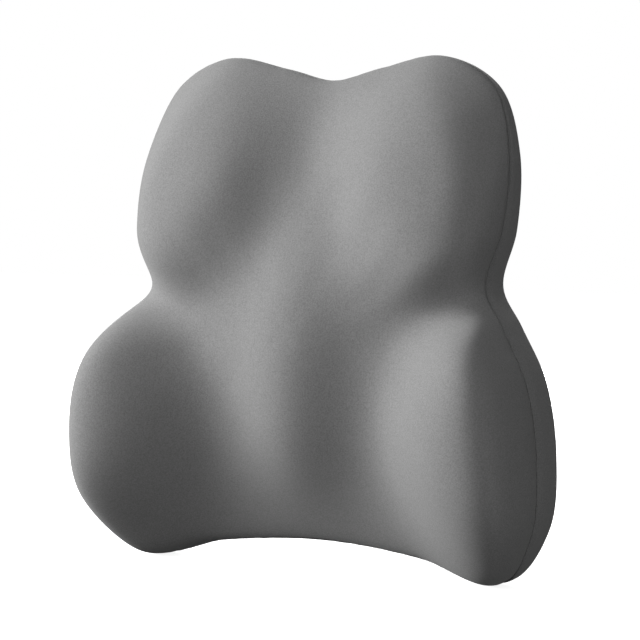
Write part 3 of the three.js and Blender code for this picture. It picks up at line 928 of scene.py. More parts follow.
    def side_band(self, outline: Array, steps: Array) -> Array:
        """Rings from the seam to the flat back.

        Args:
            outline: x and z, shape (columns, 2).
            steps: from 0 at the seam to 1 where the rear edge's rounding ends.

        Returns:
            Rings that follow the front's curve to the widest ring, run straight back, and then turn in
            on a quarter ellipse.
        """
        first = np.clip(steps / self.band_widest, 0, 1)[:, None]
        straight = np.clip((steps - self.band_widest) / (self.band_edge - self.band_widest), 0, 1)[:, None]
        turn = np.clip((steps - self.band_edge) / (1 - self.band_edge), 0, 1)[:, None] * math.pi / 2
        seam_angle = self.seam_angle(outline)
        points = self.front(outline, seam_angle + (math.pi / 2 - seam_angle) * first)
        share = 1 - self.edge_inset * (1 - np.cos(turn)) / self.reach(outline)
        rear_y = self.widest + (-self.edge_depth - self.widest) * straight + self.edge_depth * np.sin(turn)
        behind = self.shrunk(outline, share, rear_y)
        return np.where((steps > self.band_widest)[:, None, None], behind, points)

    def flat_back(self, outline: Array, steps: Array) -> Array:
        """Rings across the flat back, from its edge, at step 0, to near the middle, at step 1."""
        share = (1 - self.edge_inset / self.reach(outline)) * (1 - self.back_span * steps[:, None])
        return self.shrunk(outline, share, np.zeros_like(share))


def even_steps(panel: Callable[[Array, Array], Array], outline: Array, count: int, stop_before: float = 0.0,
               start_after: float = 0.0, samples: int = 400) -> Array:
    """Steps at which a panel's rings are evenly spaced.

    Args:
        panel: gives the rings at given steps from 0 to 1.
        outline: x and z of the outline.
        count: number of rings.
        stop_before: millimetres to leave at the panel's end.
        start_after: millimetres to leave at its start.
        samples: rings that its length is measured on.

    Returns:
        The steps: the mean length along the columns is divided evenly.
    """
    dense = np.linspace(0, 1, samples)
    length = travelled(panel(outline, dense))
    return np.interp(np.linspace(start_after, length[-1] - stop_before, count), length, dense)


@dataclass
class CoverFit:
    """How the knit cover settles on the foam, from a cloth simulation.

    A coarse cage of the front panel and side band is blown up gently with its seams held, and how far it
    moved, capped, becomes a smooth field that every layer of the cushion follows.
    """

    shape: CushionShape  # the cushion's shape
    columns: int = 96  # points round the cage
    front_rows: int = 30  # rings of its front panel
    side_rows: int = 9  # rings of its side band
    back_steps: tuple[float, float, int] = (0.1, 0.9, 6)  # steps of the flat back's rings
    middle_gap: float = 12.0  # distance of the first ring from the middle, in millimetres
    start_inset: float = 1.0  # how far inside its final place the cloth starts
    pressure: float = 5.0  # of the foam on the cloth
    shrink: float = 0.004  # share by which the cloth is cut too small
    mass: float = 0.25  # of each corner
    stretch: float = 20.0  # stiffness against stretch
    shear: float = 10.0  # stiffness against shear
    bending: float = 0.6  # stiffness against bending
    quality: int = 8  # steps of the simulation in each frame
    frames: int = 20  # how long it runs
    cap_front: float = 1.4  # how far the front panel may have moved
    cap_side: float = 0.8  # how far the side band may
    waves_kept: int = 17  # how many waves round the cushion are kept
    row_passes: int = 5  # how often the rows are averaged
    rows_by_middle: int = 7  # rows over which the waves fade towards the middle
    front_field: Array = field(init=False)  # the front panel's movement, shape (front_rows, columns, 3)
    side_field: Array = field(init=False)  # the side band's movement, shape (side_rows, columns, 3)

    def __post_init__(self) -> None:
        self.front_field = np.zeros((self.front_rows, self.columns, 3))
        self.side_field = np.zeros((self.side_rows, self.columns, 3))
        self.simulate()

    def cage(self) -> Array:
        """Make the rings of the cage: the front panel, the side band and the flat back."""
        outline = self.shape.outline(self.columns)
        front_steps = even_steps(self.shape.front_panel, outline, self.front_rows,
                                 start_after=self.middle_gap)
        side_steps = even_steps(self.shape.side_band, outline, self.side_rows)
        return np.concatenate([self.shape.front_panel(outline, front_steps),
                               self.shape.side_band(outline, side_steps)[1:],
                               self.shape.flat_back(outline, np.linspace(*self.back_steps))])

    def simulate(self) -> None:
        """Blow the cage up, measure how far each ring moved, and keep that as smooth fields."""
        rings = self.cage()
        seam_row = self.front_rows - 1
        edge_row = seam_row + self.side_rows - 1
        free = np.ones(len(rings))
        free[edge_row:] = 0
        free[seam_row] = 0
        start = rings - grid_normals(rings) * (self.start_inset * free)[:, None, None]
        points, faces = capped_surface(start, start[0].mean(0), start[-1].mean(0))
        last_pole = len(points) - 1
        held = [*range(seam_row * self.columns, (seam_row + 1) * self.columns),
                *range(edge_row * self.columns, last_pole - 1), last_pole]
        shift = self.settle(points, faces, held)[:last_pole - 1].reshape(rings.shape) - rings
        self.front_field = self.calmed(self.capped(shift[:seam_row + 1], self.cap_front), from_middle=True)
        self.side_field = self.calmed(self.capped(shift[seam_row:edge_row + 1], self.cap_side))
        length = np.linalg.norm(shift, axis=-1)
        log.info("cover fit: the cloth moved %.2f mm on average, %.2f mm at most",
                 length.mean(), length.max())

    def settle(self, points: Array, faces: list, held: list[int]) -> Array:
        """Let the cloth come to rest.

        Args:
            points: the cage's corners, in millimetres in the designer's frame.
            faces: the cage's faces.
            held: the corners that are sewn in place.

        Returns:
            Where the corners end up, in the same frame.
        """
        piece = make_mesh("cage", points, faces)
        sewn = piece.vertex_groups.new(name="sewn")
        sewn.add(held, 1.0, "REPLACE")
        cloth = piece.modifiers.new("cover", "CLOTH")
        settings = cloth.settings
        settings.vertex_group_mass = sewn.name
        settings.quality = self.quality
        settings.mass = self.mass
        settings.tension_stiffness = self.stretch
        settings.compression_stiffness = self.stretch
        settings.shear_stiffness = self.shear
        settings.bending_stiffness = self.bending
        settings.shrink_min = self.shrink
        settings.use_pressure = True
        settings.uniform_pressure_force = self.pressure
        settings.effector_weights.gravity = 0
        cloth.point_cache.frame_end = self.frames
        for number in range(1, self.frames + 1):
            bpy.context.scene.frame_set(number)
        settled = piece.evaluated_get(bpy.context.evaluated_depsgraph_get()).data
        flat = np.empty(len(points) * 3, dtype=np.float32)
        settled.vertices.foreach_get("co", flat)
        bpy.data.objects.remove(piece)
        bpy.context.scene.frame_set(1)
        return flat.reshape(-1, 3).astype(float) / MM - ORIGIN

    @staticmethod
    def capped(shift: Array, cap: float) -> Array:
        """Limit movements smoothly.

        Args:
            shift: movements in millimetres.
            cap: the longest that one may be.

        Returns:
            The movements, each of length d shortened to cap * tanh(d / cap).
        """
        length = np.linalg.norm(shift, axis=-1, keepdims=True)
        return shift * cap * np.tanh(length / cap) / np.maximum(length, TINY)

    def calmed(self, shift: Array, from_middle: bool = False) -> Array:
        """Leave only the cloth's long waves, as a stretch knit has no creases.

        Args:
            shift: movements, shape (rows, columns, 3).
            from_middle: whether the first row is a small ring round the panel's middle, where the
                waves must fade out.

        Returns:
            The movements with only their longest waves round the cushion, and with their rows averaged.
        """
        waves = np.fft.rfft(shift, axis=1)
        waves[:, self.waves_kept:] = 0
        near_middle = np.minimum(1, np.arange(len(shift)) / self.rows_by_middle)[:, None, None]
        waves[:, 1:] *= near_middle if from_middle else 1
        return smoothed_rows(np.fft.irfft(waves, self.columns, axis=1), self.row_passes)

    @staticmethod
    def resampled(values: Array, rows: int, columns: int) -> Array:
        """Spread a field over a grid of more rows and columns."""
        return catmull_rom_rows(fourier_columns(values, columns), np.linspace(0, len(values) - 1, rows))


@dataclass(frozen=True)
class Panel:
    """Outer surface of one panel of the cover."""

    rings: Array  # its points
    start_gap: Array  # how far each column's first point lies from the seam there, in millimetres
    end_gap: Array  # how far its last point lies from the seam there

    def reversed(self) -> "Panel":
        """The same panel, ring by ring and column by column backwards, so that it faces the same way."""
        return Panel(self.rings[::-1, ::-1], self.end_gap[::-1], self.start_gap[::-1])


@dataclass(frozen=True)
class ZipOpening:
    """The slot in the rear panel that the zip closes."""

    z: float = 78.0  # height of its middle
    length: float = 250.0  # of the slot
    height: float = 9.0  # of the slot
    # The depths between which it is cut, in front of the panel and behind it.
    cut: tuple[float, float] = (-8.0, 4.0)

    def corners(self) -> tuple[Array, Array]:
        """The lowest and the highest corner of the block that is cut away."""
        half = np.array([self.length / 2, self.height / 2])
        return (np.array([-half[0], self.cut[0], self.z - half[1]]),
                np.array([half[0], self.cut[1], self.z + half[1]]))


@dataclass
class Cushion:
    """The soft body: the cover's front panel, side band and rear panel, the liner and the foam core."""

    finishes: Finishes  # the materials
    shape: CushionShape = field(default_factory=CushionShape)  # the cover's outer surface
    opening: ZipOpening = field(default_factory=ZipOpening)  # the slot for the zip
    columns: int = 576  # points round each panel of the cover
    inner_columns: int = 288  # points round the liner and the foam
    front_rows: int = 110  # rings of the front panel
    side_rows: int = 36  # rings of the side band
    back_rows: int = 40  # rings of the rear panel
    cover: float = 1.6  # thickness of the cover's cloth
    cover_fill: float = 0.9  # how full the padded cover is
    liner_depth: float = 2.1  # how far the liner lies inside the cover's surface
    liner: float = 0.6  # thickness of the liner
    foam_depth: float = 3.5  # how far the foam lies inside the cover's surface
    inner_passes: int = 3  # how often the rows of the inner layers are averaged
    pull: float = 1.5  # how far a seam draws the cloth in
    pull_reach: float = 4.5  # how far from the seam it does
    roll: float = 1.1  # radius of the cloth's fold into a seam
    tuck: float = 2.6  # depth of the seam allowance's turn
    pucker: float = 0.16  # height of the small waves along a seam
    pucker_reach: float = 2.2  # how far they reach, in reaches of the pull
    # Number round the cushion, size and phase of each wave that they add up.
    pucker_waves: tuple = ((61, 0.4, 0.3), (83, 0.35, 1.9), (97, 0.5, 4.2), (118, 0.3, 2.6), (149, 0.25, 5.5))
    fit: CoverFit = field(init=False)  # how the cover settles

    def __post_init__(self) -> None:
        """Work out the cover's fit."""
        self.fit = CoverFit(self.shape)

    def sewn_in(self, rings: Array, from_seam: Array) -> Array:
        """Draw a panel's surface in along a seam.

        Args:
            rings: the panel's points.
            from_seam: distance of each ring from the seam, in millimetres.

        Returns:
            The points moved inwards by pull times e to the minus (distance / reach) squared, with
            puckers that fade in about twice that reach: a sum of sines round the cushion.
        """
        turn = np.arange(rings.shape[1]) * TAU / rings.shape[1]
        waves = sum(size * np.sin(number * turn + phase) for number, size, phase in self.pucker_waves)
        valley = self.pull * np.exp(-(from_seam / self.pull_reach) ** 2)
        fade = np.exp(-(from_seam / (self.pucker_reach * self.pull_reach)) ** 2)
        inwards = valley[:, None] + self.pucker * fade[:, None] * waves
        return rings - grid_normals(rings) * inwards[..., None]

    def fold_in(self, panel: Panel, at_end: bool) -> Array:
        """Continue a panel round its folded edge into the seam.

        Args:
            panel: the panel.
            at_end: whether the seam is at its last ring; otherwise it is at the first.

        Returns:
            The extra rings, outermost first: a quarter circle that reaches the seam, then straight in.
        """
        edge, neighbour, gap = ((panel.rings[-1], panel.rings[-2], panel.end_gap) if at_end
                                else (panel.rings[0], panel.rings[1], panel.start_gap))
        onward = unit(edge - neighbour)
        outward = grid_normals(panel.rings)[-1 if at_end else 0]
        turn = np.radians([22, 45, 68, 90])[:, None, None]
        curl = edge + gap[:, None] * np.sin(turn) * onward - self.roll * (1 - np.cos(turn)) * outward
        return np.concatenate([curl, curl[-1:] - self.tuck * outward])

    def panel(self, make: Callable[[Array, Array], Array], rows: int, columns: int,
              seams: tuple[bool, bool], settled: Array | None = None) -> Panel:
        """Make a panel's outer surface.

        Args:
            make: the shape's function for this panel.
            rows: number of rings.
            columns: points in each ring.
            seams: whether its first ring is sewn, and whether its last one is.
            settled: the cover's movement on a coarse grid, if any.

        Returns:
            The panel, drawn in along the sewn edges.
        """
        at_start, at_end = seams
        outline = self.shape.outline(columns)
        steps = even_steps(make, outline, rows, self.roll if at_end else 0, self.roll if at_start else 0)
        rings = make(outline, steps)
        start_gap, end_gap = np.linalg.norm(make(outline, np.array([0.0, 1.0])) - rings[[0, -1]], axis=-1)
        if settled is not None:
            rings = rings + self.fit.resampled(settled, rows, columns)
        length = travelled(rings)
        unsewn = np.full(rows, math.inf)
        after = length + self.roll if at_start else unsewn
        before = length[-1] - length + self.roll if at_end else unsewn
        return Panel(self.sewn_in(rings, np.minimum(after, before)), start_gap, end_gap)

    def front_panel(self, columns: int) -> Panel:
        """Outer surface of the front panel."""
        return self.panel(self.shape.front_panel, self.front_rows, columns, (False, True),
                          self.fit.front_field)

    def side_band(self, columns: int) -> Panel:
        """Outer surface of the side band."""
        return self.panel(self.shape.side_band, self.side_rows, columns, (True, True), self.fit.side_field)

    def rear_panel(self, columns: int) -> Panel:
        """Outer surface of the rear panel."""
        return self.panel(self.shape.flat_back, self.back_rows, columns, (True, False))

    def inner_face(self, panel: Panel) -> Array:
        """Rings of a panel's inner face, from its end to its start: every third is enough there."""
        return (panel.rings - grid_normals(panel.rings) * self.cover)[::-3]

    def disc_shell(self, name: str, panel: Panel) -> Piece:
        """Close a disc-shaped panel into a shell of cloth.

        Args:
            name: the piece's name.
            panel: the panel, from its middle to its sewn edge.

        Returns:
            The shell. Its poles lie in the middle of the first ring and one thickness below that, along
            the mean normal between the two.
        """
        ring = panel.rings[0]
        pole = ring.mean(0)
        outward = unit(grid_normals(np.stack([(ring + pole) / 2, ring]))[0].mean(0))
        stack = np.concatenate([panel.rings, self.fold_in(panel, True), self.inner_face(panel)[1:]])
        return make_mesh(name, *capped_surface(stack, pole, pole - outward * self.cover))

    def build_cover(self) -> None:
        """Make the cover's three panels."""
        piece = self.disc_shell("cover_front_panel", self.front_panel(self.columns))
        finish_piece(piece, self.finishes.knit, Body.CUSHION, Slot.KNIT, ["cover_front"])

        side = self.side_band(self.columns)
        stack = np.concatenate([side.rings, self.fold_in(side, True), self.inner_face(side)[1:-1],
                                self.fold_in(side, False)[::-1]])
        faces = grid_faces(*stack.shape[:2], closed_rows=True)
        piece = make_mesh("cover_side_band", stack.reshape(-1, 3), faces)
        finish_piece(piece, self.finishes.knit, Body.CUSHION, Slot.KNIT_BACK, ["cover_back"])

        piece = self.disc_shell("cover_rear_panel", self.rear_panel(self.columns).reversed())
        self.cut_slot(piece)
        finish_piece(piece, self.finishes.mesh, Body.CUSHION, Slot.KNIT_BACK, ["cover_back"])

    def cut_slot(self, piece: Piece) -> None:
        """Cut the zip's opening through the rear panel.

        Args:
            piece: the rear panel, whose mesh is replaced by the cut one.
        """
        knife = box_mesh("zip_knife", *self.opening.corners())
        cut = piece.modifiers.new("slot", "BOOLEAN")
        cut.object = knife
        cut.solver = "EXACT"
        evaluated = piece.evaluated_get(bpy.context.evaluated_depsgraph_get())
        piece.data = bpy.data.meshes.new_from_object(evaluated)
        piece.modifiers.clear()
        piece.data.shade_smooth()
        bpy.data.objects.remove(knife)

    def build_inside(self) -> None:
        """Make the liner's two halves and the foam core, which follow the settled cover."""
        panels = (self.front_panel, self.side_band, self.rear_panel)
        front, side, back = (make(self.inner_columns).rings[::2] for make in panels)
        smooth = smoothed_rows(np.concatenate([front, side, back]), self.inner_passes)
        normals = grid_normals(smooth)
        split = len(front) + len(side) // 2

        foam = smooth - normals * self.foam_depth
        piece = make_mesh("foam_core_moulding", *capped_surface(foam, foam[0].mean(0), foam[-1].mean(0)))
        finish_piece(piece, self.finishes.foam, Body.CUSHION, Slot.FOAM, ["foam_core"])

        for name, rows in (("front", slice(0, split)), ("back", slice(split, None))):
            outer = smooth[rows] - normals[rows] * self.liner_depth
            inner = smooth[rows] - normals[rows] * (self.liner_depth + self.liner)
            if name == "back":
                outer, inner = outer[::-1], inner[::-1]
            bag = capped_surface(np.concatenate([outer, inner[::-1]]), outer[0].mean(0), inner[0].mean(0))
            piece = make_mesh(f"liner_{name}_bag", *bag)
            finish_piece(piece, self.finishes.tricot, Body.CUSHION, Slot.LINER, [f"liner_{name}"])


# ------------------------------------------------------------------ narrow goods and hard parts


def box_mesh(name: str, low: Array, high: Array) -> Piece:
    """Make a plain block between two corners, for cutting with."""
    ends = np.array([low, high])
    pick = np.indices((2, 2, 2)).reshape(3, -1).T
    corners = ends[pick, np.arange(3)]
    faces = [(0, 1, 3, 2), (4, 6, 7, 5), (0, 4, 5, 1), (2, 3, 7, 6), (0, 2, 6, 4), (1, 5, 7, 3)]
    return make_mesh(name, corners, faces)


def smooth_path(knots: Array, count: int) -> Array:
    """Points along an open centripetal Catmull-Rom curve, evenly spaced.

    Args:
        knots: points that the curve passes through, shape (n, 2) or (n, 3).
        count: number of points wanted.

    Returns:
        The points; the curve's ends are continued straight.
    """
    ends = np.vstack([2 * knots[:1] - knots[1:2], knots, 2 * knots[-1:] - knots[-2:-1]])
    curve = centripetal_spans(ends[:-3], ends[1:-2], ends[2:-1], ends[3:])
    return evenly_spaced(np.vstack([curve, knots[-1:]]), count)


@dataclass(frozen=True)
class Tape:
    """A narrow woven tape, carried along a path."""

    width: float  # of the tape
    thick: float  # of the tape
    ribs: int = 16  # lengthwise ribs on each face
    ripple: float = 0.05  # depth of the ribs, as a share of the thickness

    def section(self) -> Array:
        """Cross-section of the tape.

        Returns:
            Offsets across and through it, shape (n, 2), round the section. The faces are rippled by a
            cosine, four points to a rib, and the selvedges are half round.
        """
        half, edge = self.width / 2, self.thick / 2
        across = np.linspace(edge - half, half - edge, self.ribs * 4 + 1)
        ripple = self.ripple * self.thick * (1 + np.cos(across / self.width * self.ribs * TAU))
        turn = np.radians([-60, -30, 0, 30, 60])
        selvedge = np.stack([half - edge * (1 - np.cos(turn)), edge * np.sin(turn)], -1)
        top = np.stack([across[::-1], edge - ripple], -1)
        bottom = np.stack([across, ripple - edge], -1)
        return np.vstack([bottom, selvedge, top, selvedge[::-1] * (-1, 1)])

    def sweep(self, name: str, path: Array, z: float) -> Piece:
        """Carry the section along a path in X and Y, with the tape's width along Z.

        Args:
            name: the piece's name.
            path: x and y of evenly spaced points.
            z: height of its middle.

        Returns:
            A closed tape with surface coordinates along it and across it, in metres.
        """
        section = self.section()
        along = unit(np.gradient(path, axis=0))
        normal = np.stack([-along[:, 1], along[:, 0]], -1)
        grid = np.zeros((len(path), len(section), 3))
        grid[..., :2] = path[:, None] + normal[:, None] * section[None, :, 1:]
        grid[..., 2] = z + section[None, :, 0]
        points, faces = capped_surface(grid, grid[0].mean(0), grid[-1].mean(0))
        length = travelled(path)
        uv = np.stack(np.broadcast_arrays(length[:, None], section[None, :, 0]), -1).reshape(-1, 2)
        uv = np.vstack([uv, [[0, 0], [length[-1], 0]]]) * MM
        return make_mesh(name, points, faces, uv)


@dataclass(frozen=True)
class Stitching:
    """A row of lockstitches."""

    pitch: float  # from one stitch to the next
    length: float  # of a stitch
    radius: float  # of the thread
    sides: int = 6  # faces round the thread
    rings: int = 5  # rings along a stitch

    def along(self, corners: Array) -> tuple[Array, list]:
        """Stitches along a line of straight legs.

        Args:
            corners: points that the line passes through, shape (n, 3).

        Returns:
            Points and faces of the stitches. With s from -1 to 1 along a stitch, its thickness is 0.55
            plus 0.45 times the root of 1 - 0.9 s squared, in radii, and its middle rises over the cloth
            by 1.2 (1 - s squared) - 0.9 radii, so it arches out and dips in at both ends.
        """
        total = travelled(corners)
        middles = np.arange(self.pitch / 2, total[-1], self.pitch)
        at = np.stack([np.interp(middles, total, values) for values in corners.T], -1)
        leg = np.clip(np.searchsorted(total, middles) - 1, 0, len(corners) - 2)
        along = unit(np.diff(corners, axis=0))[leg]
        outward = np.array([0.0, 1.0, 0.0])
        across = np.cross(along, outward)
        s = np.linspace(-1, 1, self.rings)[:, None]
        turn = np.arange(self.sides)[None, :] * TAU / self.sides
        swell = self.radius * (0.55 + 0.45 * np.sqrt(1 - 0.9 * s ** 2))
        rise = self.radius * (1.2 * (1 - s ** 2) - 0.9)
        grid = (at[:, None, None] + along[:, None, None] * (s * self.length / 2 + 0 * turn)[None, ..., None]
                + outward * (rise + swell * np.sin(turn))[None, ..., None]
                + across[:, None, None] * (swell * np.cos(turn))[None, ..., None])
        size = self.rings * self.sides
        caps = [tuple(reversed(range(self.sides))), tuple(range(size - self.sides, size))]
        one = grid_faces(self.rings, self.sides) + caps
        faces = [tuple(i + size * k for i in face) for k in range(len(at)) for face in one]
        return grid.reshape(-1, 3), faces

    def sew(self, name: str, lines: Sequence[Array]) -> Piece:
        """Make one piece of the stitches along several lines."""
        runs = [self.along(line) for line in lines]
        starts = np.cumsum([0] + [len(points) for points, _ in runs])
        faces = [tuple(i + int(start) for i in face) for (_, own), start in zip(runs, starts) for face in own]
        return make_mesh(name, np.vstack([points for points, _ in runs]), faces)


@dataclass(frozen=True)
class Rounding:
    """How the edges of a hard CAD part are rounded."""

    width: float  # of the rounding, in millimetres
    segments: int = 2  # facets across it
    flat: float = 1.0  # faces that meet at less than this angle, in degrees, are joined first
    sharp: float = 30.0  # edges sharper than this, in degrees, are rounded
    crease: float = 40.0  # edges sharper than this, in degrees, stay sharp in the shading
    weld_m: float = 1e-6  # corners closer than this, in metres, are one

    def copy_of(self, node: str, name: str) -> Piece:
        """Copy a CAD part with its edges rounded.

        Args:
            node: the CAD node.
            name: the new piece's name.

        Returns:
            A new object: the node's triangles merged, its flat faces rejoined and its sharp edges
            bevelled.
        """
        work = bmesh.new()
        work.from_mesh(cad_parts[node].data)
        bmesh.ops.remove_doubles(work, verts=work.verts, dist=self.weld_m)
        bmesh.ops.dissolve_limit(work, angle_limit=math.radians(self.flat), verts=work.verts,
                                 edges=work.edges)
        sharp = [edge for edge in work.edges
                 if len(edge.link_faces) == 2 and edge.calc_face_angle(0) > math.radians(self.sharp)]
        bmesh.ops.bevel(work, geom=sharp, offset=self.width * MM, segments=self.segments, profile=0.5,
                        affect="EDGES", clamp_overlap=True)
        bmesh.ops.triangulate(work, faces=[face for face in work.faces if len(face.verts) > 4])
        mesh = bpy.data.meshes.new(name)
        work.to_mesh(mesh)
        work.free()
        mesh.shade_smooth()
        piece = bpy.data.objects.new(name, mesh)
        bpy.context.scene.collection.objects.link(piece)
        mesh.set_sharp_from_angle(angle=math.radians(self.crease))
        return piece


class Half(Enum):
    """The zip's two halves."""

    UPPER = 1
    LOWER = -1


@dataclass
class Zip:
    """The coil zip near the foot of the back panel."""

    finishes: Finishes  # the materials
    opening: ZipOpening = field(default_factory=ZipOpening)  # the slot that it closes
    tape: Tape = Tape(width=13.0, thick=0.7, ribs=12)  # one of its two tapes
    tape_points: int = 90  # points along a tape
    overhang: float = 9.0  # how far the tapes reach past the slot
    lift: float = 0.3  # gap between the panel and a tape, and between a tape and its coil
    gap: float = 1.5  # between the two tapes
    topstitch: Stitching = Stitching(pitch=2.8, length=2.3, radius=0.22)  # the stitches that hold a tape
    topstitch_insets: tuple[float, float] = (2.0, 8.2)  # their distances from the tape's outer edge
    topstitch_end: float = 2.0  # distance of their ends from the tape's
    end: float = 119.0  # distance of a coil's ends from the middle
    pitch: float = 1.35  # from one tooth to the next
    coil_height: float = 1.6  # of a coil, across the tape
    coil_depth: float = 2.0  # of a coil, off the tape
    wire: float = 0.33  # radius of the monofilament
    overlap: float = 0.1  # how far a tooth reaches over the gap
    facets: int = 12  # points round one turn of the coil
    sides: int = 6  # faces round the wire
    # CAD node, new piece, width of its rounding and body of each cast part.
    metal: tuple = (
        ("zip_slider", "zip_slider_body", 0.25, Body.SLIDER),
        ("zip_pull", "zip_pull_tab", 0.25, Body.PULL),
        ("zip_bottom_stop", "zip_bottom_stop_cast", 0.4, Body.CUSHION),
        ("zip_top_stop_upper", "zip_top_stop_upper_cast", 0.35, Body.CUSHION),
        ("zip_top_stop_lower", "zip_top_stop_lower_cast", 0.35, Body.CUSHION))

    def build_tape(self, half: Half) -> None:
        """Make one woven tape with its topstitching.

        Args:
            half: which side of the opening.
        """
        name = half.name.lower()
        reach = self.opening.length / 2 + self.overhang
        depth = self.lift + self.tape.thick / 2
        path = np.stack([np.linspace(-reach, reach, self.tape_points), np.full(self.tape_points, depth)], -1)
        middle = self.opening.z + half.value * (self.gap + self.tape.width) / 2
        piece = self.tape.sweep(f"zip_tape_{name}_woven", path, middle)
        finish_piece(piece, self.finishes.zip_tape, Body.CUSHION, Slot.ZIP_TAPE, [f"zip_tape_{name}"])

        end = reach - self.topstitch_end
        face = self.lift + self.tape.thick
        lines = []
        for inset in self.topstitch_insets:
            z = self.opening.z + half.value * (self.gap / 2 + self.tape.width - inset)
            lines.append(np.array([[-end, face, z], [end, face, z]]))
        thread = self.topstitch.sew(f"zip_topstitch_{name}", lines)
        finish_piece(thread, self.finishes.thread, Body.CUSHION, Slot.ZIP_TAPE)

    def build_coil(self, half: Half) -> None:
        """Make one coil of monofilament.

        Args:
            half: which side of the opening. The wire's middle goes round a flat oval across the tape as
                it moves along, one turn for each tooth, so its heads stand at the opening.
        """
        name = half.name.lower()
        teeth = int(2 * self.end / self.pitch)
        turn = np.linspace(0, TAU * teeth, teeth * self.facets + 1)
        phase = 0 if half is Half.UPPER else math.pi
        middle_y = self.lift + self.tape.thick + self.lift + self.coil_depth / 2
        half_y = self.coil_depth / 2 - self.wire
        half_z = self.coil_height / 2 - self.wire + self.overlap
        from_gap = self.gap / 2 + self.coil_height / 2 - self.overlap - half_z * np.cos(turn + phase)
        x = self.wire - self.end + turn / TAU * self.pitch * (1 - self.wire / self.end)
        z = self.opening.z + half.value * from_gap
        path = np.stack([x, middle_y + half_y * np.sin(turn + phase), z], -1)
        along = unit(np.gradient(path, axis=0))
        centre = np.stack([x, np.full_like(x, middle_y), np.full_like(x, z.mean())], -1)
        outward = unit(np.cross(along, np.cross(path - centre, along)))
        across = np.cross(along, outward)
        round_wire = (np.arange(self.sides) * TAU / self.sides)[None, :, None]
        grid = path[:, None] + self.wire * (np.cos(round_wire) * outward[:, None]
                                            + np.sin(round_wire) * across[:, None])
        piece = make_mesh(f"zip_coil_{name}_wire", *capped_surface(grid, path[:1], path[-1:]))
        finish_piece(piece, self.finishes.coil, Body.CUSHION, Slot.ZIP_COIL, [f"zip_coil_{name}"])

    def build(self) -> None:
        """Make the whole zip: tapes and coils, then the slider, its pull and the stops."""
        for half in Half:
            self.build_tape(half)
            self.build_coil(half)
        for node, name, width, body in self.metal:
            finish_piece(Rounding(width).copy_of(node, name), self.finishes.zinc, body, Slot.ZINC, [node])


class Side(Enum):
    """The cushion's two sides, as one looks at its front."""

    RIGHT = 1
    LEFT = -1


Route = list[tuple[float, float]]


